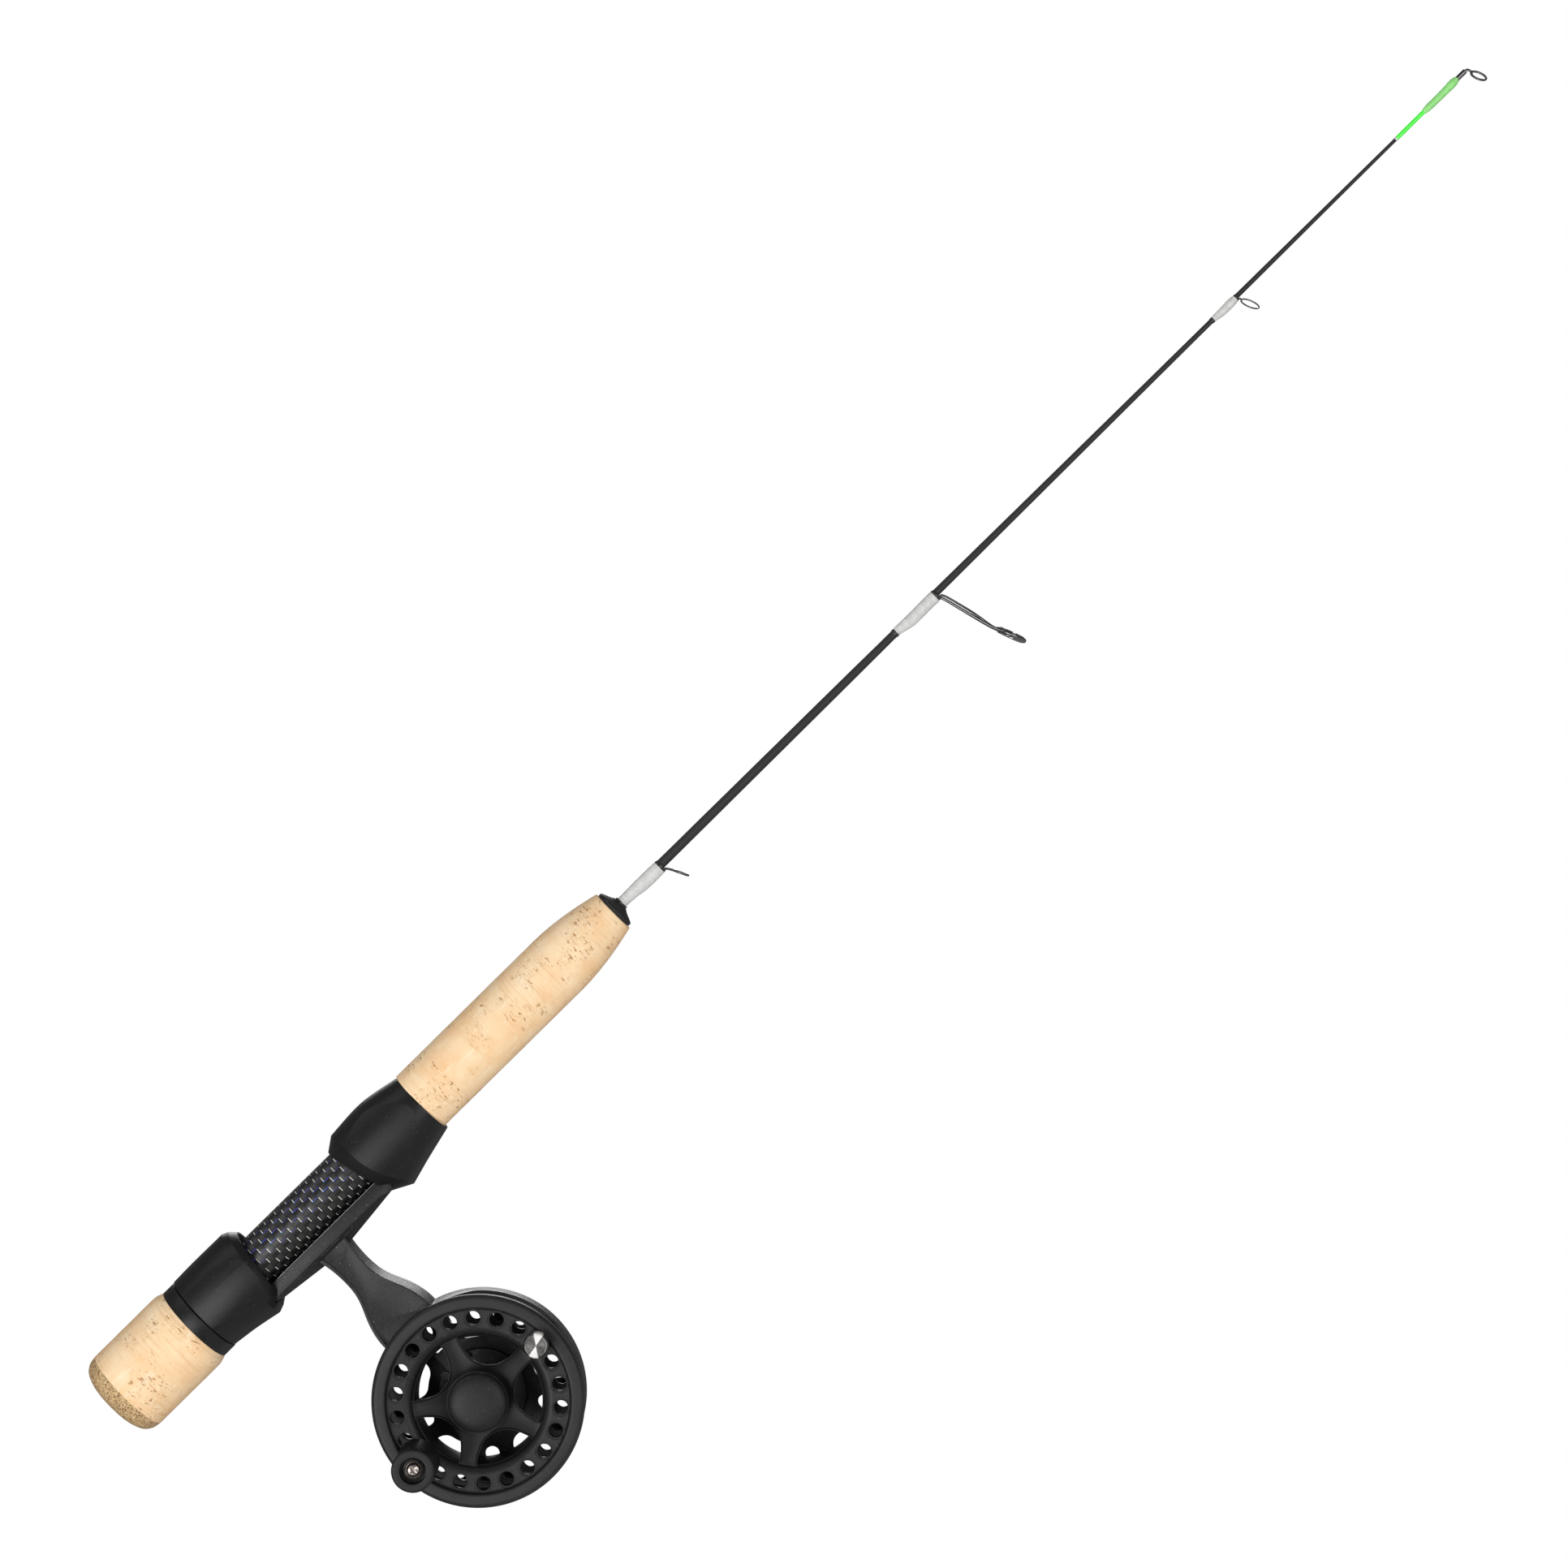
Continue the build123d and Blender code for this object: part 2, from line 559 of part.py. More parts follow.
def make_counterweight():
    angle = 0.0
    button = pin_on_reel(angle, HOLE_CIRCLE_R, (WEIGHT_FACE + 0.6, RIM_FACE), WEIGHT_R)
    face = pin_on_reel(angle, HOLE_CIRCLE_R, (WEIGHT_FACE, WEIGHT_FACE + 0.6), WEIGHT_R - 0.6)
    seat = pin_on_reel(angle, HOLE_CIRCLE_R, (RIM_FACE, RING_FACE), POST_R + 0.4)
    tail = pin_on_reel(angle, HOLE_CIRCLE_R, (RING_FACE, FLANGE_BACK), POST_R)
    return button + face + seat + tail


def make_handle_post():
    shaft = pin_on_reel(radians(180), HOLE_CIRCLE_R, (-36.0, FLANGE_BACK), POST_R)
    seat = pin_on_reel(radians(180), HOLE_CIRCLE_R, (RIM_FACE, RING_FACE), POST_R + 0.4)
    bore = pin_on_reel(radians(180), HOLE_CIRCLE_R, (-36.0, -29.0), 1.1)
    return shaft + seat - bore


def make_knob_screw():
    """A small round-headed screw with a washer that holds the knob on its post."""
    head = pin_on_reel(radians(180), HOLE_CIRCLE_R, (-37.8, -36.4), 2.3)
    washer = pin_on_reel(radians(180), HOLE_CIRCLE_R, (-36.4, -36.0), 3.4)
    shank = pin_on_reel(radians(180), HOLE_CIRCLE_R, (-36.0, -29.5), 1.1)
    place = Pos(REEL_X - HOLE_CIRCLE_R, -37.8, REEL_Z)
    cross = place * (Box(2.8, 1.6, 0.6) + Box(0.6, 1.6, 2.8))
    return head + washer + shank - cross


def make_handle_knob():
    outline = [(KNOB_FACE, 4.1), (KNOB_FACE, KNOB_R - 0.5), (KNOB_FACE + 0.5, KNOB_R), (KNOB_FACE + 3.0, KNOB_R),
               (KNOB_FACE + 3.6, KNOB_R - 0.3), (-28.0, KNOB_WAIST_R), (-19.0, 6.3), (-16.0, 6.9),
               (KNOB_BASE - 0.5, 6.9), (KNOB_BASE, 6.4), (KNOB_BASE, 3.0), (-35.7, 3.0), (-35.7, 4.1)]
    corners = [(radius, y) for y, radius in outline]
    solid = revolve(make_face(Polyline(*corners, close=True)), Axis.Y)
    return Pos(REEL_X - HOLE_CIRCLE_R, 0, REEL_Z) * solid


def make_tension_knob():
    outline = [(CAP_FACE, 0), (CAP_FACE + 0.15, 5.0), (CAP_FACE + 0.6, CAP_R - 0.6), (CAP_FACE + 1.3, CAP_R),
               (-15.8, CAP_R), (-15.4, KNURL_R), (CAP_BACK, KNURL_R), (CAP_BACK, 8.2), (-17.6, 8.2),
               (-17.6, 4.4), (-18.8, 4.4), (-18.8, 0)]
    knob = turned_on_reel(outline)
    groove = Pos(0, -14.2, 0) * Box(0.5, 3.0, 0.5)
    for step in range(KNURLS):
        turn = step * 360 / KNURLS
        knob = knob - Pos(REEL_X, 0, REEL_Z) * Rot(0, turn, 0) * Pos(KNURL_R + 0.05, 0, 0) * groove
    return knob


# ---------------------------------------------------------------- build

def build_rod():
    blank = make_blank()
    save("rod_blank", blank)
    save("seat_tube", make_seat_tube())
    save("blank_arbors", Compound(children=[tube_on_rod(a, b, TUBE_BORE) - blank for a, b in ARBOR_SPANS]))
    save("front_hood", make_front_hood(blank))
    save("fore_grip", make_fore_grip(blank))
    save("winding_check", make_winding_check(blank))
    save("rear_hood", make_rear_hood())
    save("rear_grip", make_rear_grip())
    save("butt_cap", make_butt_cap())
    save("lock_ring", make_lock_ring())
    save("grip_nut", tube_on_rod(NUT_REAR, NUT_FRONT, NUT_R, TUBE_R + RUN))


def build_guides():
    blank = make_blank()
    keeper = ring_guide(150, (159.6, 0, -2.03), (162.6, 0, -6.6), 26, 2.3, 0.4)
    save("hook_keeper", keeper - blank)
    save("keeper_wrap", thread_wrap([(142.6, 1.95, -1.95), (147, 1.95, -1.95), (153, 2.0, -2.7),
                                     (158.9, 2.0, -2.7)], blank, keeper))
    save("keeper_trim", Compound(children=[
        thread_wrap([(141.9, 2.4, -2.4), (142.6, 2.3, -2.3)], blank),
        thread_wrap([(158.9, 1.9, -2.65), (159.9, 1.8, -2.5)], blank, keeper)]))

    centre = (290.6, 0, -26.2)
    tilt = 21
    frame = make_stripper_frame(centre, tilt, 4.9, 0.55, 4.4)
    save("stripper_frame", frame - blank)
    insert = fillet((Cylinder(4.4, 2.0) - Cylinder(3.5, 3.0)).edges().filter_by(GeomType.CIRCLE), 0.3)
    save("stripper_ring", tilted_ring(on_rod(*centre), tilt, insert))
    save("stripper_wrap", thread_wrap([(265.3, 1.4, -1.4), (270.5, 1.45, -2.55), (282.0, 1.5, -2.6)],
                                      blank, frame))
    save("stripper_trim", Compound(children=[
        thread_wrap([(264.2, 1.45, -1.45), (265.3, 1.5, -1.5)], blank),
        thread_wrap([(282.0, 1.45, -2.5), (283.0, 1.4, -2.4)], blank, frame)]))

    guide = ring_guide(409.5, (417.5, 0, -1.1), (419.0, 0, -4.7), 21, 3.1, 0.25, GUIDE_TWIST)
    save("mid_guide", guide - blank)
    save("mid_wrap", thread_wrap([(407.3, 0.97, -1.0), (410.5, 1.1, -1.6), (414.5, 1.28, -1.65),
                                  (416.9, 1.0, -1.5)], blank, guide))
    save("mid_trim", Compound(children=[
        thread_wrap([(406.2, 0.95, -0.98), (407.3, 1.02, -1.05)], blank),
        thread_wrap([(416.9, 1.0, -1.5), (417.7, 0.95, -1.4)], blank, guide)]))


def build_tip():
    blank = make_blank()
    sleeve = tube_on_rod(489.4, 504.0, 0.72) - blank
    save("tip_sleeve", sleeve)
    save("sleeve_band", tube_on_rod(488.7, 489.4, 0.74) - blank)
    tube = tube_on_rod(506.0, 520.0, 0.85) - blank
    save("tip_top_tube", tube)
    ring_r = 2.6
    wire_r = 0.36
    tilt = 20.5
    centre = (521.9, 0, -4.1)
    ring = tilted_ring(on_rod(*centre), tilt, Torus(ring_r, wire_r), GUIDE_TWIST)
    crown = ring_crown(centre, tilt, ring_r, GUIDE_TWIST)
    leg = bar(on_rod(520.0, 0, -0.35), crown, wire_r) + Pos(on_rod(520.0, 0, -0.35)) * Sphere(wire_r)
    save("tip_top_ring", ring + leg - tube_on_rod(500, 520.0, 1.5))
    save("tip_wrap", thread_wrap([(501.5, 0.82, -0.85), (503.5, 1.1, -1.2), (511.5, 1.2, -1.35),
                                  (514, 1.4, -1.45), (516.4, 0.92, -0.95)], blank, sleeve, tube))


def build_reel():
    save("reel_frame", make_reel_frame())
    save("spindle", make_spindle())
    save("spindle_nut", make_spindle_nut())
    save("rear_cover", make_rear_cover())
    save("cover_screws", make_cover_screws())
    save("click_guide", make_click_guide())
    save("click_plunger", make_click_plunger())
    save("click_spring", make_click_spring())
    save("guide_screws", make_guide_screws())

    save("spool_front_flange", make_front_flange())
    save("spool_arbor", ring_on_reel((FLANGE_BACK, REAR_FLANGE[0]), ARBOR_R, ARBOR_BORE))
    save("spool_rear_flange", make_rear_flange())
    save("front_bush", ring_on_reel((HUB[0], -6.0), BUSH_R, SPINDLE_R + RUN))
    save("rear_bush", ring_on_reel((2.0, HUB[1]), BUSH_R, SPINDLE_R + RUN))
    save("click_gear", make_click_gear())
    save("drag_washer", ring_on_reel((-12.2, HUB[0]), 6.8, SPINDLE_R + 0.1))
    save("counterweight", make_counterweight())
    save("handle_post", make_handle_post())
    save("knob_screw", make_knob_screw())
    save("handle_knob", make_handle_knob())
    save("knob_bush", pin_on_reel(radians(180), HOLE_CIRCLE_R, (-35.7, KNOB_BASE), 3.0, POST_R + RUN))
    save("tension_knob", make_tension_knob())
    save("tension_insert", ring_on_reel((-18.8, -14.6), 4.4, SPINDLE_R + RUN))
    save("tension_washers", turned_on_reel([(-14.6, 2.7), (-14.6, 4.4), (-13.2, 7.0), (-12.6, 7.0), (-14.0, 4.0),
                                            (-14.0, 2.7)]))


os.makedirs("parts", exist_ok=True)
build_rod()
build_guides()
build_tip()
build_reel()
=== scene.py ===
"""Looks for a short ice-fishing rod with an in-line reel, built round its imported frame.

The rod lies along X with its tip at +X and the reel hangs below it. Places along the rod are
given in millimetres from the reel's axis, and places on the reel from its centre.
"""

import json
import math

import bmesh
import bpy
from mathutils import Matrix, Vector


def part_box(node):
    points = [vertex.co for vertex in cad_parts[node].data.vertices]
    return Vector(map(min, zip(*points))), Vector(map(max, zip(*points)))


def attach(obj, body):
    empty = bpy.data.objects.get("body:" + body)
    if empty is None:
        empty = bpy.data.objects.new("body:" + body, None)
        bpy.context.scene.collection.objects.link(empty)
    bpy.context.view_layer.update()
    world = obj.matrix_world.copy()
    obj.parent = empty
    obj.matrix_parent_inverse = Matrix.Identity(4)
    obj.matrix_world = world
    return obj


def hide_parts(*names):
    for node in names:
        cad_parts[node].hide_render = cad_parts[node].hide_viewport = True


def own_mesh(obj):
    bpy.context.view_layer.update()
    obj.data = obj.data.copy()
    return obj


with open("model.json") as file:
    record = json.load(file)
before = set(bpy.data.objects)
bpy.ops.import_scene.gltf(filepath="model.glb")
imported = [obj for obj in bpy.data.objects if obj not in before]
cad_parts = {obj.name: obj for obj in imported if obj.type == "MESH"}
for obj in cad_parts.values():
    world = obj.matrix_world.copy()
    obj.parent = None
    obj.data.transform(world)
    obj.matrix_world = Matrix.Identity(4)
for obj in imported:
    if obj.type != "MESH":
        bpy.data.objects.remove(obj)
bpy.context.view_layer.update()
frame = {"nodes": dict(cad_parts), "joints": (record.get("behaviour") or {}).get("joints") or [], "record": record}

NODES = frame["nodes"]
JOINTS = {joint["name"]: joint for joint in frame["joints"]}
MM = 0.001
MERGE = 2e-6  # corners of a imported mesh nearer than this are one
HOLES_AT = 26.2  # radius of the circle that the spool's holes, crank and weight are on
HOLES = 22
STEP = math.tau / HOLES
REEL = Vector(JOINTS["spool_spin"]["pos_m"])
CRANK = Vector(JOINTS["crank_knob_spin"]["pos_m"])
X_AXIS = Vector((1, 0, 0))
Y_AXIS = Vector((0, 1, 0))
Z_AXIS = Vector((0, 0, 1))


def on_rod(distance, y=0.0, z=0.0):
    """A point this far toward the tip from the reel's axis, in millimetres."""
    return Vector((REEL.x + distance * MM, y * MM, z * MM))


def on_reel(x, y, z):
    """A point in millimetres from the middle of the reel."""
    return REEL + Vector((x, y, z)) * MM


# ---------------------------------------------------------------- modelling

def only(piece):
    """Select one piece and make it active."""
    bpy.ops.object.select_all(action="DESELECT")
    piece.select_set(True)
    bpy.context.view_layer.objects.active = piece


def settle(piece):
    """Put the piece's place in its mesh, so that its object sits at the origin."""
    only(piece)
    bpy.ops.object.transform_apply(location=True, rotation=True, scale=True)
    return piece


def close_mesh():
    """Merge doubles and turn every face outwards, in edit mode."""
    bpy.ops.mesh.select_all(action="SELECT")
    bpy.ops.mesh.remove_doubles(threshold=1e-6)
    bpy.ops.mesh.normals_make_consistent(inside=False)


def draw_line(name, points, closed=False):
    """A piece in edit mode: one point, extruded from corner to corner."""
    bpy.ops.object.select_all(action="DESELECT")
    bpy.ops.mesh.primitive_plane_add(size=MM, location=points[0])
    piece = bpy.context.object
    piece.name = name
    bpy.ops.object.mode_set(mode="EDIT")
    bpy.ops.mesh.select_mode(type="VERT")
    bpy.ops.mesh.merge(type="CENTER")
    for here, there in zip(points, points[1:]):
        bpy.ops.mesh.extrude_vertices_move(TRANSFORM_OT_translate={"value": there - here})
    if closed:
        mesh = bmesh.from_edit_mesh(piece.data)
        mesh.verts.ensure_lookup_table()
        mesh.verts[0].select = True
        mesh.select_flush(True)
        bmesh.update_edit_mesh(piece.data)
        bpy.ops.mesh.edge_face_add()
    bpy.ops.mesh.select_all(action="SELECT")
    return piece


def spun(name, points, centre, axis, steps, closed):
    """A profile spun all the way about an axis."""
    piece = draw_line(name, points, closed)
    bpy.ops.mesh.spin(steps=steps, angle=math.tau, center=centre, axis=axis)
    close_mesh()
    bpy.ops.object.mode_set(mode="OBJECT")
    return settle(piece)


def turned_on_rod(name, profile, steps=96, closed=False):
    """A body turned about the rod's axis from (distance, radius) in millimetres."""
    points = [on_rod(distance, 0, radius) for distance, radius in profile]
    return spun(name, points, on_rod(0), X_AXIS, steps, closed)


def turned_about(name, centre, profile, steps=96, closed=False):
    """A body turned about a line along Y from (y, radius) in millimetres."""
    points = [Vector((centre.x + radius * MM, y * MM, centre.z)) for y, radius in profile]
    return spun(name, points, centre, Y_AXIS, steps, closed)


def smooth(piece, angle=35):
    """Shade smooth, but for edges sharper than an angle in degrees."""
    only(piece)
    bpy.ops.object.shade_smooth_by_angle(angle=math.radians(angle))
    return piece


def apply(piece, modifier):
    """Make a modifier's result the piece's own mesh."""
    only(piece)
    bpy.ops.object.modifier_apply(modifier=modifier.name)
    return piece


def soften(piece, width, segments, angle):
    """Round the edges sharper than an angle in degrees by a width in millimetres."""
    bevel = piece.modifiers.new("edges", "BEVEL")
    bevel.width = width * MM
    bevel.segments = segments
    bevel.limit_method = "ANGLE"
    bevel.angle_limit = math.radians(angle)
    bevel.miter_outer = "MITER_ARC"
    apply(piece, bevel)
    return smooth(piece, 40)


def combine(piece, tool, operation):
    """Cut, join or trim a piece with another, which is used up."""
    modifier = piece.modifiers.new(operation.lower(), "BOOLEAN")
    modifier.operation = operation
    modifier.solver = "EXACT"
    modifier.object = tool
    apply(piece, modifier)
    bpy.data.objects.remove(tool)
    return piece


def joined(pieces):
    """Several pieces as one object, named as the first."""
    bpy.ops.object.select_all(action="DESELECT")
    for piece in pieces:
        piece.select_set(True)
    bpy.context.view_layer.objects.active = pieces[0]
    if len(pieces) > 1:
        bpy.ops.object.join()
    return settle(bpy.context.object)


def copied(piece, name, matrix):
    """A copy with its own mesh, moved by a matrix."""
    twin = piece.copy()
    twin.data = piece.data.copy()
    twin.name = name
    twin.data.transform(matrix)
    bpy.context.scene.collection.objects.link(twin)
    return twin


def turned_matrix(centre, axis, angle):
    """A turn about an axis through a point."""
    return Matrix.Translation(centre) @ Matrix.Rotation(angle, 4, axis) @ Matrix.Translation(-centre)


def dress(piece, body, material, replaced):
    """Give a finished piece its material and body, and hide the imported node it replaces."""
    piece.data.materials.clear()
    piece.data.materials.append(material)
    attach(piece, body)
    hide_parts(replaced)
    return piece


# ---------------------------------------------------------------- material parts

def node(tree, kind, **values):
    """A node with its settings given by name and its sockets by label."""
    made = tree.nodes.new(kind)
    for label, value in values.items():
        if hasattr(made, label):
            setattr(made, label, value)
        else:
            made.inputs[label.replace("_", " ")].default_value = value
    return made


def link(tree, source, target):
    """Join an output to an input."""
    tree.links.new(source, target)


def maths(tree, operation, first, second=None, third=None):
    """A Math node; each operand is a number or a socket. Returns its result."""
    made = tree.nodes.new("ShaderNodeMath")
    made.operation = operation
    for socket, operand in zip(made.inputs, (first, second, third)):
        if operand is None:
            continue
        if isinstance(operand, (int, float)):
            socket.default_value = operand
        else:
            tree.links.new(operand, socket)
    return made.outputs[0]


def mixed(tree, factor, first, second):
    """A colour mix; the factor is a number or a socket, and each colour is a tuple or a socket."""
    made = tree.nodes.new("ShaderNodeMix")
    made.data_type = "RGBA"
    for socket, operand in ((made.inputs[0], factor), (made.inputs[6], first), (made.inputs[7], second)):
        if isinstance(operand, (int, float)):
            socket.default_value = operand
        elif isinstance(operand, tuple):
            socket.default_value = (*operand, 1.0)
        else:
            tree.links.new(operand, socket)
    return made.outputs[2]


def ranged(tree, value, low, high, to_low=0.0, to_high=1.0):
    """A value stretched from one range to another, and kept inside it."""
    made = node(tree, "ShaderNodeMapRange")
    tree.links.new(value, made.inputs["Value"])
    made.inputs["From Min"].default_value = low
    made.inputs["From Max"].default_value = high
    made.inputs["To Min"].default_value = to_low
    made.inputs["To Max"].default_value = to_high
    return made.outputs[0]


def band(tree, value, middle, outer, inner):
    """One near a middle value, falling to nothing by the outer reach."""
    away = maths(tree, "ABSOLUTE", maths(tree, "SUBTRACT", value, middle))
    return ranged(tree, away, outer, inner)


def object_place(tree, scale=(1, 1, 1)):
    """Object coordinates, stretched."""
    place = node(tree, "ShaderNodeTexCoord")
    stretch = node(tree, "ShaderNodeMapping")
    stretch.inputs["Scale"].default_value = scale
    link(tree, place.outputs["Object"], stretch.inputs["Vector"])
    return stretch.outputs[0]


def noise(tree, place, scale, detail=4.0, rough=0.55):
    """A cloudy value between nought and one."""
    made = node(tree, "ShaderNodeTexNoise", Scale=scale, Detail=detail, Roughness=rough)
    link(tree, place, made.inputs["Vector"])
    return made.outputs["Fac"]


def bump(tree, shader, height, depth):
    """Feed a height, to a depth in millimetres, into the shader's normal."""
    made = node(tree, "ShaderNodeBump", Strength=1.0, Distance=depth * MM)
    link(tree, height, made.inputs["Height"])
    link(tree, made.outputs[0], shader.inputs["Normal"])


def new_material(name, color, roughness, **settings):
    """A material with one Principled shader and its plain settings."""
    material = bpy.data.materials.new(name)
    material.use_nodes = True
    tree = material.node_tree
    shader = tree.nodes["Principled BSDF"]
    shader.inputs["Base Color"].default_value = (*color, 1.0)
    shader.inputs["Roughness"].default_value = roughness
    for label, value in settings.items():
        shader.inputs[label.replace("_", " ")].default_value = value
    return material, tree, shader


def group_of(name, inputs, outputs):
    """An empty node group with float inputs (name, default) and named outputs (name, type)."""
    group = bpy.data.node_groups.new(name, "ShaderNodeTree")
    for label, default in inputs:
        socket = group.interface.new_socket(label, in_out="INPUT", socket_type="NodeSocketFloat")
        socket.default_value = default
    for label, kind in outputs:
        group.interface.new_socket(label, in_out="OUTPUT", socket_type=kind)
    return group, group.nodes.new("NodeGroupInput"), group.nodes.new("NodeGroupOutput")


def make_moulded_skin():
    """Moulded plastic: a fine grain, and slow changes of roughness and tone as from handling."""
    group, given, out = group_of(
        "moulded skin",
        [("Grain", 2600.0), ("Roughness", 0.45), ("Spread", 0.12), ("Tone", 0.03)],
        [("Height", "NodeSocketFloat"), ("Roughness", "NodeSocketFloat"), ("Color", "NodeSocketColor")],
    )
    place = object_place(group)
    fine = node(group, "ShaderNodeTexNoise", Detail=3.0, Roughness=0.6)
    link(group, place, fine.inputs["Vector"])
    link(group, given.outputs["Grain"], fine.inputs["Scale"])
    slow = noise(group, place, 55.0, 5.0, 0.65)
    swing = maths(group, "MULTIPLY", maths(group, "SUBTRACT", slow, 0.5), given.outputs["Spread"])
    link(group, fine.outputs["Fac"], out.inputs["Height"])
    link(group, maths(group, "ADD", given.outputs["Roughness"], swing), out.inputs["Roughness"])
    specks = ranged(group, noise(group, place, 900.0, 2.0, 0.5), 0.66, 0.74, 0.0, 0.6)
    light = maths(group, "ADD", maths(group, "MULTIPLY", slow, 0.5), 0.75)
    grit = node(group, "ShaderNodeTexVoronoi", feature="F1", Scale=1100.0)
    link(group, place, grit.inputs["Vector"])
    chance = node(group, "ShaderNodeSeparateColor")
    link(group, grit.outputs["Color"], chance.inputs[0])
    dust = maths(group, "MULTIPLY", ranged(group, grit.outputs["Distance"], 0.24, 0.14),
                 ranged(group, chance.outputs["Red"], 0.93, 0.96, 0.0, 6.0))
    specks = maths(group, "ADD", specks, dust)
    mottle = ranged(group, fine.outputs["Fac"], 0.35, 0.65, -0.25, 0.35)
    light = maths(group, "ADD", light, mottle)
    value = maths(group, "MULTIPLY", given.outputs["Tone"], maths(group, "ADD", light, specks))
    tint = node(group, "ShaderNodeCombineColor")
    for channel in ("Red", "Green"):
        link(group, value, tint.inputs[channel])
    link(group, maths(group, "MULTIPLY", value, 1.03), tint.inputs["Blue"])
    link(group, tint.outputs[0], out.inputs["Color"])
    return group


def make_round_the_rod():
    """Turns object coordinates into a distance along the rod and an angle round it, both as values."""
    group, _, out = group_of(
        "round the rod", [], [("Along", "NodeSocketFloat"), ("Turn", "NodeSocketFloat")]
    )
    place = node(group, "ShaderNodeTexCoord")
    parts = node(group, "ShaderNodeSeparateXYZ")
    link(group, place.outputs["Object"], parts.inputs[0])
    link(group, parts.outputs["X"], out.inputs["Along"])
    turn = maths(group, "ARCTAN2", parts.outputs["Z"], parts.outputs["Y"])
    link(group, maths(group, "DIVIDE", turn, math.tau), out.inputs["Turn"])
    return group


SATIN = 0.22  # specular level of the black mouldings
MOULDED_SKIN = make_moulded_skin()
ROUND_THE_ROD = make_round_the_rod()


def use_group(tree, group, **values):
    """A node group placed in a material, with its own values."""
    made = tree.nodes.new("ShaderNodeGroup")
    made.node_tree = group
    for label, value in values.items():
        made.inputs[label].default_value = value
    return made


def moulded_plastic(name, tone, roughness, grain, depth):
    """Satin moulding with a grain bumped to a depth in millimetres."""
    material, tree, shader = new_material(name, (tone, tone, tone), roughness, Specular_IOR_Level=SATIN)
    skin = use_group(tree, MOULDED_SKIN, Grain=grain, Roughness=roughness, Spread=0.12, Tone=tone)
    link(tree, skin.outputs["Color"], shader.inputs["Base Color"])
    link(tree, skin.outputs["Roughness"], shader.inputs["Roughness"])
    bump(tree, shader, skin.outputs["Height"], depth)
    return material


def make_worn_grip(name, tone, centre, worn_beyond):
    """Black moulding, paler from handling on the tips of its teeth."""
    material, tree, shader = new_material(name, (tone, tone, tone), 0.45, Specular_IOR_Level=SATIN)
    skin = use_group(tree, MOULDED_SKIN, Grain=2200.0, Roughness=0.46, Spread=0.12, Tone=tone)
    reach, _ = reach_from(tree, centre)
    tips = ranged(tree, reach, (worn_beyond - 0.1) * MM, (worn_beyond + 0.1) * MM, 0.0, 0.8)
    link(tree, mixed(tree, tips, skin.outputs["Color"], (0.10, 0.10, 0.095)), shader.inputs["Base Color"])
    link(tree, skin.outputs["Roughness"], shader.inputs["Roughness"])
    bump(tree, shader, skin.outputs["Height"], 0.03)
    return material


# ---------------------------------------------------------------- materials

CORK_RING = 12.3  # length of one glued cork ring


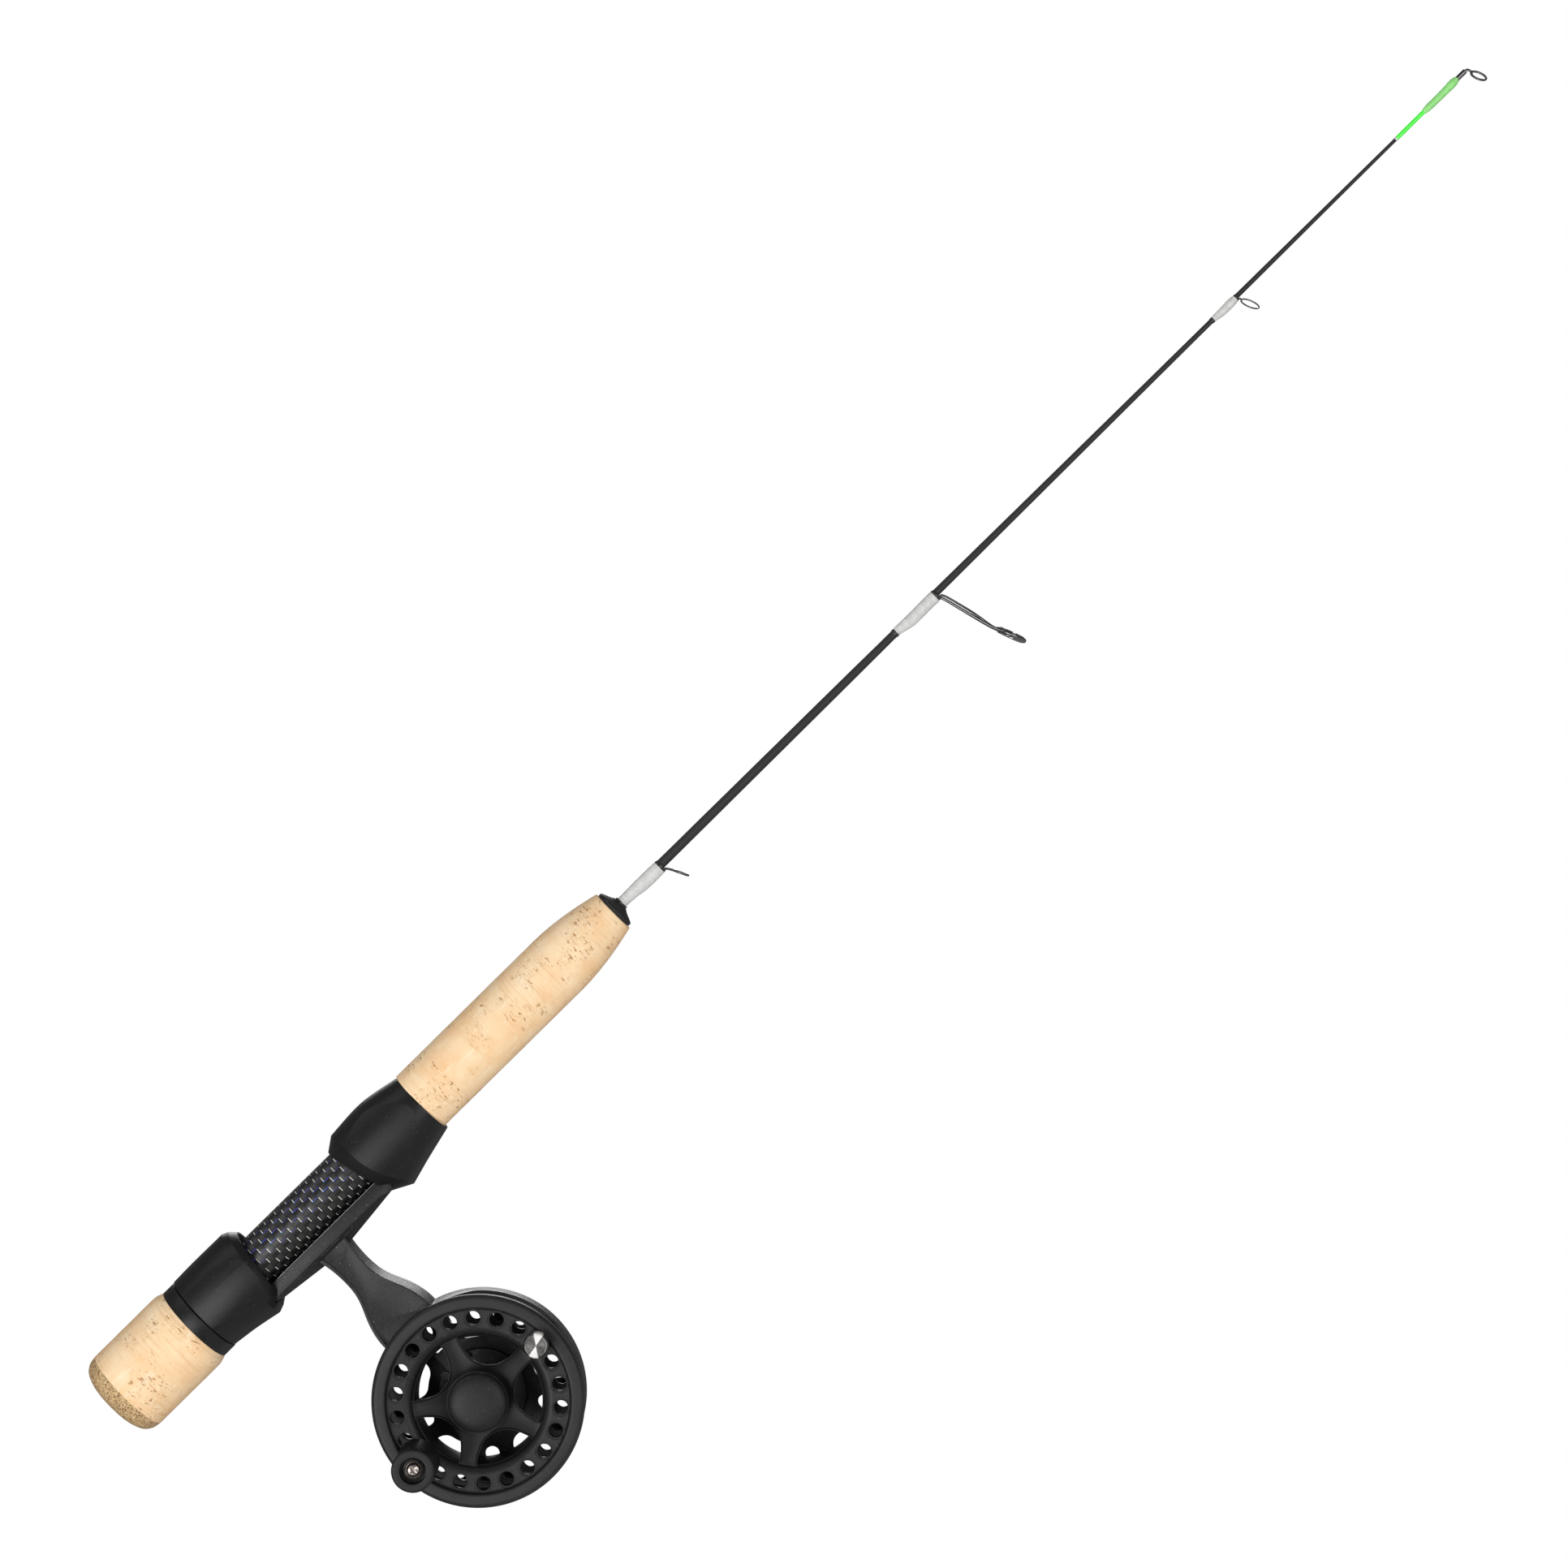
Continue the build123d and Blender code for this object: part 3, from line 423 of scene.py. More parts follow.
def make_cork(name, first_seam):
    """Cork glued from rings: pale, with growth lines round it, light streaks along it, and pits."""
    material, tree, shader = new_material(name, (0.86, 0.61, 0.36), 0.75, Specular_IOR_Level=0.25)
    rod = use_group(tree, ROUND_THE_ROD)
    along = maths(tree, "DIVIDE", maths(tree, "SUBTRACT", rod.outputs["Along"], first_seam), CORK_RING * MM)
    step = maths(tree, "FRACT", along)
    tones = node(tree, "ShaderNodeTexWhiteNoise", noise_dimensions="1D")
    link(tree, maths(tree, "FLOOR", along), tones.inputs["W"])
    slide = node(tree, "ShaderNodeCombineXYZ")
    link(tree, maths(tree, "MULTIPLY", tones.outputs["Value"], 0.7), slide.inputs["Y"])
    shifted = node(tree, "ShaderNodeVectorMath", operation="ADD")
    link(tree, object_place(tree), shifted.inputs[0])
    link(tree, slide.outputs[0], shifted.inputs[1])

    def stretched(scale, size, detail, rough):
        """Noise stretched along or round the rod, and shifted from ring to ring."""
        stretch = node(tree, "ShaderNodeMapping")
        stretch.inputs["Scale"].default_value = scale
        link(tree, shifted.outputs[0], stretch.inputs["Vector"])
        return noise(tree, stretch.outputs[0], size, detail, rough)

    clusters = stretched((0.8, 1.0, 1.0), 95.0, 2.0, 0.5)
    zones = stretched((1.0, 0.8, 0.8), 60.0, 2.0, 0.5)
    growth = stretched((1.0, 0.05, 0.05), 1500.0, 4.0, 0.65)
    lines = maths(tree, "MULTIPLY", ranged(tree, growth, 0.54, 0.66), ranged(tree, zones, 0.45, 0.58))
    streak = stretched((0.12, 1.0, 1.0), 520.0, 5.0, 0.6)
    streaks = maths(tree, "MULTIPLY", ranged(tree, streak, 0.57, 0.68), ranged(tree, zones, 0.60, 0.46))
    cuts = stretched((1.0, 0.42, 0.42), 1150.0, 4.0, 0.65)
    pits = maths(tree, "MULTIPLY", ranged(tree, cuts, 0.605, 0.650), ranged(tree, clusters, 0.48, 0.57))
    crumbs = maths(tree, "MULTIPLY", ranged(tree, cuts, 0.40, 0.35), ranged(tree, clusters, 0.50, 0.60))
    hair = maths(tree, "MULTIPLY", band(tree, stretched((1.0, 0.6, 0.6), 230.0, 4.0, 0.7), 0.5, 0.010, 0.002),
                 ranged(tree, clusters, 0.48, 0.56, 0.0, 0.55))
    seam = band(tree, maths(tree, "PINGPONG", step, 0.5), 0.0, 0.010, 0.003)

    slow = noise(tree, object_place(tree), 75.0, 5.0, 0.65)
    base = mixed(tree, ranged(tree, slow, 0.34, 0.66), (0.90, 0.58, 0.31), (0.98, 0.77, 0.51))
    base = mixed(tree, maths(tree, "MULTIPLY", tones.outputs["Value"], 0.22), base, (0.92, 0.61, 0.33))
    base = mixed(tree, maths(tree, "MULTIPLY", lines, 0.42), base, (0.72, 0.42, 0.20))
    base = mixed(tree, maths(tree, "MULTIPLY", streaks, 0.6), base, (0.97, 0.83, 0.61))
    base = mixed(tree, maths(tree, "MULTIPLY", crumbs, 0.7), base, (0.98, 0.86, 0.62))
    base = mixed(tree, hair, base, (0.45, 0.25, 0.11))
    base = mixed(tree, maths(tree, "MULTIPLY", seam, 0.12), base, (0.55, 0.34, 0.17))
    base = mixed(tree, maths(tree, "MULTIPLY", pits, 0.85), base, (0.50, 0.20, 0.055))
    link(tree, base, shader.inputs["Base Color"])

    fine = noise(tree, object_place(tree), 2400.0, 3.0, 0.6)
    height = maths(tree, "MULTIPLY_ADD", fine, 0.25, maths(tree, "MULTIPLY", pits, -1.0))
    height = maths(tree, "MULTIPLY_ADD", lines, -0.25, height)
    height = maths(tree, "MULTIPLY_ADD", seam, -0.1, height)
    bump(tree, shader, height, 0.12)
    return material


def make_burl():
    """Burl cork: granules of cork and rubber pressed together."""
    material, tree, shader = new_material("burl cork", (0.5, 0.35, 0.2), 0.8)
    place = object_place(tree)
    grains = node(tree, "ShaderNodeTexVoronoi", feature="F1", Scale=3000.0)
    link(tree, place, grains.inputs["Vector"])
    tones = node(tree, "ShaderNodeSeparateColor")
    link(tree, grains.outputs["Color"], tones.inputs[0])
    base = mixed(tree, ranged(tree, tones.outputs["Red"], 0.1, 0.9), (0.40, 0.24, 0.10), (0.66, 0.46, 0.23))
    base = mixed(tree, ranged(tree, tones.outputs["Green"], 0.84, 0.90), base, (0.15, 0.07, 0.035))
    base = mixed(tree, ranged(tree, tones.outputs["Blue"], 0.88, 0.94), base, (0.80, 0.62, 0.38))
    link(tree, base, shader.inputs["Base Color"])
    height = maths(tree, "SUBTRACT", noise(tree, place, 2600.0), grains.outputs["Distance"])
    bump(tree, shader, height, 0.12)
    return material


WEAVE_CELL = 2.315  # width of one carbon tow
WEAVE_ROWS = 24  # tows round the tube
WEAVE_START = -14.6  # where one of the tows begins, from the reel's axis


def make_carbon_weave():
    """Plain carbon weave under clear gloss, with a silver tracer across it and a blue one along it; alternate
    cells are painted paler at their crowns as painted sheen, and the blue tracer shows only in a band of height as
    painted glint.
    """
    material, tree, shader = new_material(
        "carbon weave", (0.02, 0.02, 0.02), 0.4, Coat_Weight=0.35, Coat_Roughness=0.26,
        Specular_IOR_Level=0.3
    )
    rod = use_group(tree, ROUND_THE_ROD)
    shifted = maths(tree, "SUBTRACT", rod.outputs["Along"], on_rod(WEAVE_START).x)
    across = maths(tree, "DIVIDE", shifted, WEAVE_CELL * MM)
    around = maths(tree, "MULTIPLY_ADD", rod.outputs["Turn"], WEAVE_ROWS, 0.5)
    around = maths(tree, "WRAP", around, WEAVE_ROWS, 0.0)
    cell = maths(tree, "ADD", maths(tree, "FLOOR", across), maths(tree, "FLOOR", around))
    over = maths(tree, "PINGPONG", maths(tree, "ADD", cell, 1.0), 1.0)
    u = maths(tree, "FRACT", across)
    v = maths(tree, "FRACT", around)
    arch_u = maths(tree, "SINE", maths(tree, "MULTIPLY", u, math.pi))
    arch_v = maths(tree, "SINE", maths(tree, "MULTIPLY", v, math.pi))
    crown = mixed(tree, over, arch_v, arch_u)

    silver = maths(tree, "MULTIPLY", band(tree, u, 0.06, 0.062, 0.034), over)
    silver = maths(tree, "MULTIPLY", silver, ranged(tree, arch_v, 0.12, 0.42))
    blue_tracer_and_glint = maths(tree, "MULTIPLY", band(tree, v, 0.955, 0.06, 0.03), over)
    place = node(tree, "ShaderNodeTexCoord")
    parts = node(tree, "ShaderNodeSeparateXYZ")
    link(tree, place.outputs["Object"], parts.inputs[0])
    # The blue tracer shows only in a band of height: painted glint, where it catches the softbox.
    blue_tracer_and_glint = maths(tree, "MULTIPLY", blue_tracer_and_glint, band(tree, parts.outputs["Z"], 2.8 * MM, 5.2 * MM, 2.0 * MM))
    patchy = noise(tree, object_place(tree), 260.0, 2.0)
    blue_tracer_and_glint = maths(tree, "MULTIPLY", blue_tracer_and_glint, ranged(tree, patchy, 0.4, 0.55, 0.25, 1.0))
    knot = maths(tree, "MULTIPLY", blue_tracer_and_glint, ranged(tree, u, 0.28, 0.05))

    fibre_place = node(tree, "ShaderNodeCombineXYZ")
    link(tree, maths(tree, "MULTIPLY", across, mixed(tree, over, (14, 14, 14), (1.4, 1.4, 1.4))),
         fibre_place.inputs["X"])
    link(tree, maths(tree, "MULTIPLY", around, mixed(tree, over, (1.4, 1.4, 1.4), (14, 14, 14))),
         fibre_place.inputs["Y"])
    fibres = noise(tree, fibre_place.outputs[0], 1.0, 2.0)
    # Painted sheen: alternate cells are painted paler, palest at their crowns, as the light their tows reflect.
    light = mixed(tree, arch_u, (0.008, 0.008, 0.007), (0.026, 0.025, 0.024))
    base = mixed(tree, over, (0.007, 0.007, 0.008), light)
    base = mixed(tree, silver, base, (0.72, 0.70, 0.64))
    base = mixed(tree, blue_tracer_and_glint, base, (0.05, 0.05, 0.60))
    base = mixed(tree, knot, base, (0.10, 0.45, 0.95))
    link(tree, base, shader.inputs["Base Color"])
    link(tree, ranged(tree, fibres, 0.2, 0.8, 0.3, 0.5), shader.inputs["Roughness"])
    bump(tree, shader, maths(tree, "MULTIPLY_ADD", fibres, 0.12, crown), 0.08)
    return material


THREAD_PITCH = 0.15


def make_thread(name, color, shade):
    """Thread wound round the blank under clear epoxy."""
    material, tree, shader = new_material(
        name, color, 0.5, Coat_Weight=0.6, Coat_Roughness=0.22, Coat_IOR=1.45
    )
    rod = use_group(tree, ROUND_THE_ROD)
    lay = maths(tree, "DIVIDE", rod.outputs["Along"], THREAD_PITCH * MM)
    lay = maths(tree, "ADD", lay, rod.outputs["Turn"])
    ridge = maths(tree, "SINE", maths(tree, "MULTIPLY", maths(tree, "FRACT", lay), math.pi))
    place = object_place(tree, (1.0, 0.3, 0.3))
    streaks = noise(tree, place, 1100.0, 4.0, 0.7)
    factor = maths(tree, "MULTIPLY", ranged(tree, ridge, 0.0, 0.6, 0.35, 1.0),
                   ranged(tree, streaks, 0.3, 0.6, 0.4, 1.0))
    link(tree, mixed(tree, factor, shade, color), shader.inputs["Base Color"])
    bump(tree, shader, ridge, 0.02)
    return material


def make_gloss(name, color, roughness, coat=0.6, **settings):
    """Lacquer with a slight orange peel."""
    material, tree, shader = new_material(
        name, color, roughness, Coat_Weight=coat, Coat_Roughness=0.12, **settings
    )
    place = object_place(tree)
    peel = noise(tree, place, 700.0, 2.0, 0.5)
    slow = noise(tree, place, 60.0, 3.0)
    link(tree, ranged(tree, slow, 0.3, 0.7, roughness * 0.8, roughness * 1.5), shader.inputs["Roughness"])
    shade = tuple(channel * 0.75 for channel in color)
    link(tree, mixed(tree, ranged(tree, slow, 0.3, 0.7), shade, color), shader.inputs["Base Color"])
    bump(tree, shader, peel, 0.01)
    return material


def reach_from(tree, centre):
    """The distance from a line along Y, and the angle round it."""
    shifted = node(tree, "ShaderNodeMapping")
    shifted.inputs["Location"].default_value = (-centre.x, 0, -centre.z)
    link(tree, object_place(tree), shifted.inputs["Vector"])
    parts = node(tree, "ShaderNodeSeparateXYZ")
    link(tree, shifted.outputs[0], parts.inputs[0])
    across = parts.outputs["X"]
    up = parts.outputs["Z"]
    squares = maths(tree, "ADD", maths(tree, "MULTIPLY", across, across), maths(tree, "MULTIPLY", up, up))
    return maths(tree, "SQRT", squares), maths(tree, "ARCTAN2", up, across)


RING_LINES = 60000.0  # radians of ripple to a metre of radius on a turned face


def make_metal(name, color, roughness, centre=None):
    """Metal; a face turned about a line along Y gets fine rings, and painted highlight: bright and dark sectors
    painted round its centre as the sheen such rings give.
    """
    material, tree, shader = new_material(name, color, roughness, Metallic=1.0)
    place = object_place(tree)
    grain = noise(tree, place, 1800.0, 3.0)
    height = grain
    if centre is not None:
        reach, turn = reach_from(tree, centre)
        ripple = maths(tree, "SINE", maths(tree, "MULTIPLY", reach, RING_LINES))
        height = maths(tree, "ADD", maths(tree, "MULTIPLY", grain, 0.2), ripple)
        # Painted highlight: in bright sectors round the centre the colour stays and metalness drops, and the rest
        # is painted dark as painted shade.
        painted_highlight_sectors = ranged(tree, maths(tree, "SINE", maths(tree, "MULTIPLY_ADD", turn, 2.0, 0.4)), 0.55, 0.80)
        shade = tuple(channel * 0.12 for channel in color)
        link(tree, mixed(tree, painted_highlight_sectors, shade, color), shader.inputs["Base Color"])
        link(tree, ranged(tree, painted_highlight_sectors, 0.0, 1.0, 1.0, 0.08), shader.inputs["Metallic"])
    slow = noise(tree, place, 120.0, 3.0)
    link(tree, ranged(tree, slow, 0.3, 0.7, roughness * 0.85, roughness * 1.25), shader.inputs["Roughness"])
    bump(tree, shader, height, 0.012)
    return material


def make_spool_face(name, tone):
    """The spool's composite: painted shade darkens it inside the eye, and it is paler with wear on the rim."""
    material, tree, shader = new_material(name, (tone, tone, tone), 0.44, Specular_IOR_Level=SATIN)
    skin = use_group(tree, MOULDED_SKIN, Grain=2000.0, Roughness=0.44, Spread=0.14, Tone=tone)
    reach, _ = reach_from(tree, REEL)
    # Inside the eye the colour is painted darker, as painted shade under the spokes and hub.
    inside = ranged(tree, reach, 20.3 * MM, 21.6 * MM)
    rim = ranged(tree, reach, 29.0 * MM, 29.8 * MM)
    painted_eye_shade = tone * 0.25
    bright = tone * 1.9
    shade = mixed(tree, inside, (painted_eye_shade, painted_eye_shade, painted_eye_shade), skin.outputs["Color"])
    worn = noise(tree, object_place(tree), 160.0, 5.0, 0.7)
    pale = maths(tree, "MULTIPLY", rim, ranged(tree, worn, 0.4, 0.7, 0.25, 0.75))
    link(tree, mixed(tree, pale, shade, (bright, bright, bright)), shader.inputs["Base Color"])
    link(tree, skin.outputs["Roughness"], shader.inputs["Roughness"])
    bump(tree, shader, skin.outputs["Height"], 0.03)
    return material


def make_recessed_screw(name, color, centre, head_r):
    """A bright screw head; the washer round it is painted near black, as painted shade in the knob's recess."""
    material, tree, shader = new_material(name, color, 0.3, Metallic=1.0)
    reach, _ = reach_from(tree, centre)
    head = ranged(tree, reach, (head_r + 0.05) * MM, head_r * MM)
    link(tree, mixed(tree, head, (0.015, 0.014, 0.013), color), shader.inputs["Base Color"])
    tarnish = noise(tree, object_place(tree), 700.0, 3.0)
    link(tree, ranged(tree, tarnish, 0.3, 0.7, 0.22, 0.42), shader.inputs["Roughness"])
    bump(tree, shader, tarnish, 0.02)
    return material


CORK_FORE = make_cork("fore grip cork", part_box("fore_grip")[0].x)
CORK_REAR = make_cork("rear grip cork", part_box("rear_grip")[0].x)
BURL = make_burl()
WEAVE = make_carbon_weave()
SEAT_PLASTIC = moulded_plastic("seat nylon", 0.010, 0.38, 2600.0, 0.02)
REEL_PLASTIC = moulded_plastic("reel composite", 0.020, 0.42, 1700.0, 0.035)
SPOOL_PLASTIC = moulded_plastic("spool composite", 0.014, 0.44, 2000.0, 0.03)
KNOB_PLASTIC = moulded_plastic("knob plastic", 0.011, 0.48, 2200.0, 0.03)
RUBBER = moulded_plastic("check rubber", 0.02, 0.6, 1500.0, 0.03)
BLANK_LACQUER = make_gloss("blank lacquer", (0.026, 0.024, 0.026), 0.5, 0.05, Specular_IOR_Level=0.35)
# The green paint is fluorescent; its emission is painted glow standing in for that brightness.
GREEN_PAINT = make_gloss("green paint", (0.06, 0.95, 0.05), 0.25, Emission_Color=(0.05, 1.0, 0.03, 1.0),
                         Emission_Strength=0.22)
WHITE_PAINT = make_gloss("white paint", (0.8, 0.8, 0.8), 0.25)
SILVER_THREAD = make_thread("silver thread", (0.76, 0.77, 0.74), (0.45, 0.46, 0.45))
BLACK_THREAD = make_thread("black thread", (0.015, 0.015, 0.016), (0.004, 0.004, 0.004))
GREEN_THREAD = make_thread("green thread", (0.38, 0.93, 0.28), (0.22, 0.68, 0.15))
BLACK_WIRE = make_metal("black chrome wire", (0.16, 0.16, 0.165), 0.26)
INSERT_METAL = make_metal("ring insert", (0.32, 0.32, 0.33), 0.15)
STEEL = make_metal("turned steel", (0.60, 0.58, 0.56), 0.28)
SCREW_STEEL = make_metal("screw steel", (0.62, 0.56, 0.52), 0.22)
WEIGHT_STEEL = make_metal("faced steel", (0.95, 0.93, 0.90), 0.2, on_reel(HOLES_AT, 0, 0))
BRASS = make_metal("brass", (0.75, 0.55, 0.25), 0.3)
SPOOL_FACE = make_spool_face("spool face", 0.014)
GRIP_PLASTIC = make_worn_grip("worn grip", 0.011, REEL, 10.08)
KNOB_SCREW = make_recessed_screw("knob screw", (0.27, 0.235, 0.215), CRANK, 2.35)
FOAM = moulded_plastic("foam bushing", 0.6, 0.9, 1500.0, 0.1)
FIBRE = moulded_plastic("fibre washer", 0.35, 0.9, 1500.0, 0.1)

SLOT_MATERIALS = {
    "carbon_weave": WEAVE, "blank_gloss": BLANK_LACQUER, "seat_black": SEAT_PLASTIC, "cork": CORK_FORE,
    "burl_cork": BURL, "ring_black": SEAT_PLASTIC, "check_rubber": RUBBER, "nut_metal": STEEL,
    "silver_thread": SILVER_THREAD, "black_thread": BLACK_THREAD, "green_thread": GREEN_THREAD,
    "green_tip": GREEN_PAINT, "white_band": WHITE_PAINT, "black_wire": BLACK_WIRE, "foam": FOAM,
    "ring_insert": INSERT_METAL, "reel_black": REEL_PLASTIC, "spool_black": SPOOL_PLASTIC,
    "knob_black": KNOB_PLASTIC, "steel": STEEL, "polished_steel": WEIGHT_STEEL, "brass": BRASS,
    "bronze": BRASS, "fibre": FIBRE,
}

for part in frame["record"]["subparts"]:
    shown = NODES[part["node"]]
    shown.data.materials.clear()
    shown.data.materials.append(SLOT_MATERIALS[part["material_slot"]])
# The steel guide screws take the black reel plastic: painted shade, where they sit behind the spokes.
NODES["guide_screws"].data.materials[0] = REEL_PLASTIC


# ---------------------------------------------------------------- pieces

def eased(corners, closed=True):
    """Round the corners of an outline; each corner is (along, radius, rounding)."""
    steps = 4
    points = []
    count = len(corners)
    for index, (along, out, ease) in enumerate(corners):
        here = Vector((along, out))
        if ease == 0 or (not closed and index in (0, count - 1)):
            points.append((along, out))
            continue
        last = Vector(corners[index - 1][:2])
        after = Vector(corners[(index + 1) % count][:2])
        reach_back = min(ease, (last - here).length * 0.45)
        reach_on = min(ease, (after - here).length * 0.45)
        start = here + (last - here).normalized() * reach_back
        end = here + (after - here).normalized() * reach_on
        for step in range(steps + 1):
            t = step / steps
            spot = start * (1 - t) ** 2 + here * 2 * t * (1 - t) + end * t**2
            points.append((spot.x, spot.y))
    return points


def between(stations, cuts):
    """Stations on a smooth curve through three or more, the given number in each gap."""
    smooth_stations = []
    for index in range(len(stations) - 1):
        p0 = stations[max(index - 1, 0)]
        p1 = stations[index]
        p2 = stations[index + 1]
        p3 = stations[min(index + 2, len(stations) - 1)]
        for cut in range(cuts):
            t = cut / cuts
            smooth_stations.append(tuple(
                0.5 * (2 * b + (c - a) * t
                       + (2 * a - 5 * b + 4 * c - d) * t**2
                       + (3 * b - a - 3 * c + d) * t**3)
                for a, b, c, d in zip(p0, p1, p2, p3)))
    smooth_stations.append(stations[-1])
    return smooth_stations


def lofted(name, stations, corners=96):
    """A closed body through oval loops across the rod: (distance, top, bottom, half width, lean)."""
    bpy.ops.object.select_all(action="DESELECT")
    for index, (distance, top, bottom, half_width, lean) in enumerate(stations):
        height = top - bottom
        half_height = math.hypot(height, lean) / 2
        middle = on_rod(distance, 0, (top + bottom) / 2)
        bpy.ops.mesh.primitive_circle_add(
            vertices=corners,
            radius=half_height * MM,
            location=middle,
            rotation=(0, math.atan2(-height, -lean), 0),
        )
        if index == 0:
            piece = settle(bpy.context.object)
            piece.name = name
            bpy.ops.object.mode_set(mode="EDIT")
            bpy.ops.mesh.select_all(action="SELECT")
        bpy.ops.transform.resize(value=(1, half_width / half_height, 1), center_override=middle)
    bpy.ops.mesh.select_all(action="SELECT")
    bpy.ops.mesh.bridge_edge_loops(type="SINGLE")
    bpy.ops.mesh.select_all(action="SELECT")
    bpy.ops.mesh.fill_holes(sides=0)
    close_mesh()
    bpy.ops.object.mode_set(mode="OBJECT")
    return piece


def block(name, low, high):
    """A box between two corners, used as a tool."""
    bpy.ops.object.select_all(action="DESELECT")
    bpy.ops.mesh.primitive_cube_add(size=1.0, location=(Vector(low) + Vector(high)) / 2)
    bpy.context.object.scale = Vector(high) - Vector(low)
    piece = settle(bpy.context.object)
    piece.name = name
    return piece


def plate(name, outline, front, back):
    """A flat outline in X and Z, given depth from one Y to another. Left in edit mode."""
    piece = draw_line(name, [Vector((x, front, z)) for x, z in outline], closed=True)
    bpy.ops.mesh.edge_face_add()
    bpy.ops.mesh.extrude_region_move(TRANSFORM_OT_translate={"value": (0, back - front, 0)})
    close_mesh()
    bpy.ops.mesh.select_all(action="DESELECT")
    return piece


def pick_faces(piece, test):
    """Select the faces whose middle and normal pass the test, in edit mode."""
    bpy.ops.mesh.select_mode(type="FACE")
    bpy.ops.mesh.select_all(action="DESELECT")
    mesh = bmesh.from_edit_mesh(piece.data)
    for face in mesh.faces:
        face.select = test(face.calc_center_median(), face.normal)
    mesh.select_flush_mode()
    bmesh.update_edit_mesh(piece.data)


def clean_mesh(piece, gap, angle):
    """Merge corners nearer than a gap, and dissolve edges flatter than an angle in degrees."""
    only(piece)
    bpy.ops.object.mode_set(mode="EDIT")
    bpy.ops.mesh.select_all(action="SELECT")
    bpy.ops.mesh.remove_doubles(threshold=gap)
    if angle:
        bpy.ops.mesh.dissolve_limited(angle_limit=math.radians(angle))
    bpy.ops.object.mode_set(mode="OBJECT")
    return piece


def packed_copy(node_name, name, angle):
    """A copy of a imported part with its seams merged, and its flats cleaned where an angle is given."""
    return clean_mesh(copied(NODES[node_name], name, Matrix()), MERGE, angle)


# ---- the rod

def make_fore_grip():
    outline = [(52.3, 2.2, 0), (52.3, 11.0, 0.3), (114.0, 11.0, 0), (118.0, 10.9, 2), (122.5, 10.5, 2),
               (127.5, 9.85, 2), (133.0, 8.8, 2), (138.6, 7.55, 0.5), (138.8, 2.2, 0)]
    return cork_body("fore_grip_cork", outline, 0.05)


def cork_body(name, outline, wander):
    """A turned cork body, cut fine along its length and sanded slightly uneven."""
    profile = eased(outline, closed=True)
    fine = []
    for (d0, r0), (d1, r1) in zip(profile, profile[1:] + profile[:1]):
        cuts = max(1, int(abs(d1 - d0) / 0.7)) if min(r0, r1) > 5 else 1
        for cut in range(cuts):
            fine.append((d0 + (d1 - d0) * cut / cuts, r0 + (r1 - r0) * cut / cuts))
    piece = turned_on_rod(name, fine, 160, closed=True)
    for size, depth in ((3.0, wander), (0.55, 0.05)):
        pattern = bpy.data.textures.new(name + "_wear", "CLOUDS")
        pattern.noise_scale = size * MM
        pattern.noise_depth = 2
        wear = piece.modifiers.new("wear", "DISPLACE")
        wear.texture = pattern
        wear.texture_coords = "LOCAL"
        wear.strength = depth * MM
        apply(piece, wear)
    return smooth(piece, 50)


def make_rear_grip():
    outline = [(-78.5, 8.4, 0), (-78.5, 14.85, 0), (-51.6, 14.85, 1.5), (-48.9, 13.9, 0.2), (-48.9, 10.6, 0),
               (-72.8, 10.6, 0), (-72.8, 8.4, 0)]
    return cork_body("rear_grip_cork", outline, 0.06)


def make_butt_cap():
    outline = [(-78.5, 6.0, 0), (-78.5, 14.84, 0), (-81.2, 14.45, 1.0), (-83.4, 12.9, 1.2),
               (-84.8, 9.6, 1.2), (-85.0, 0.0, 0), (-80.0, 0.0, 0), (-80.0, 6.0, 0)]
    return cork_body("butt_cap_burl", outline, 0.05)


def make_lock_ring():
    outline = [(-48.9, 10.6, 0), (-48.9, 13.9, 0.25), (-44.2, 13.9, 0.35), (-44.2, 10.6, 0.1),
               (-45.3, 10.6, 0), (-45.3, 11.3, 0), (-46.9, 11.3, 0), (-46.9, 10.6, 0)]
    return smooth(turned_on_rod("lock_ring_black", eased(outline), 128, closed=True))


def make_winding_check():
    outline = [(138.8, 2.0, 0), (138.8, 6.8, 0.2), (139.75, 6.8, 0.25), (140.15, 6.15, 0.3),
               (141.3, 3.4, 0.6), (141.9, 2.6, 0.2), (141.9, 1.7, 0)]
    return smooth(turned_on_rod("winding_check_rubber", eased(outline), 96, closed=True))


def make_seat_tube():
    outline = [(-70.5, 6.0, 0), (49.0, 6.0, 0), (49.0, 8.25, 0.3), (-70.5, 8.25, 0.3)]
    return smooth(turned_on_rod("seat_tube_weave", eased(outline), 160, closed=True))


def make_rod_blank():
    outline = [(-66, 0), (-66, 2.1), (139, 1.63), (163, 1.58), (243, 1.40), (284, 1.23), (331, 1.05),
               (377, 0.90), (432, 0.775), (463, 0.65), (489, 0.58), (518.5, 0.50), (518.5, 0)]
    return smooth(turned_on_rod("rod_blank_lacquer", outline, 48), 25)


def make_hood(name, stations, cheeks, bores):
    """A hood lofted from end to end, trimmed by its cheeks, and bored for the tube and foot."""
    shell = lofted(name, stations)
    combine(shell, lofted("cheeks", cheeks), "INTERSECT")
    for bore in bores:
        combine(shell, bore, "DIFFERENCE")
    return soften(clean_mesh(shell, 4e-5, 0.3), 0.35, 3, 9)


def foot_bed(name, grow):
    """A boat-shaped tool that leaves room for the foot."""
    half = 7.3 + grow
    top = -5.0 + grow
    keel = [(-31 - grow, top), (-31 - grow, -10.6), (-22.2, -14.0), (-6, -16.0), (6, -16.0), (25.9, -13.8),
            (32 + grow, -10.6), (32 + grow, top)]
    outline = [(on_rod(d).x, (z - grow) * MM) for d, z in keel]
    bed = plate(name, outline, -half * MM, half * MM)
    bpy.ops.object.mode_set(mode="OBJECT")
    return settle(bed)


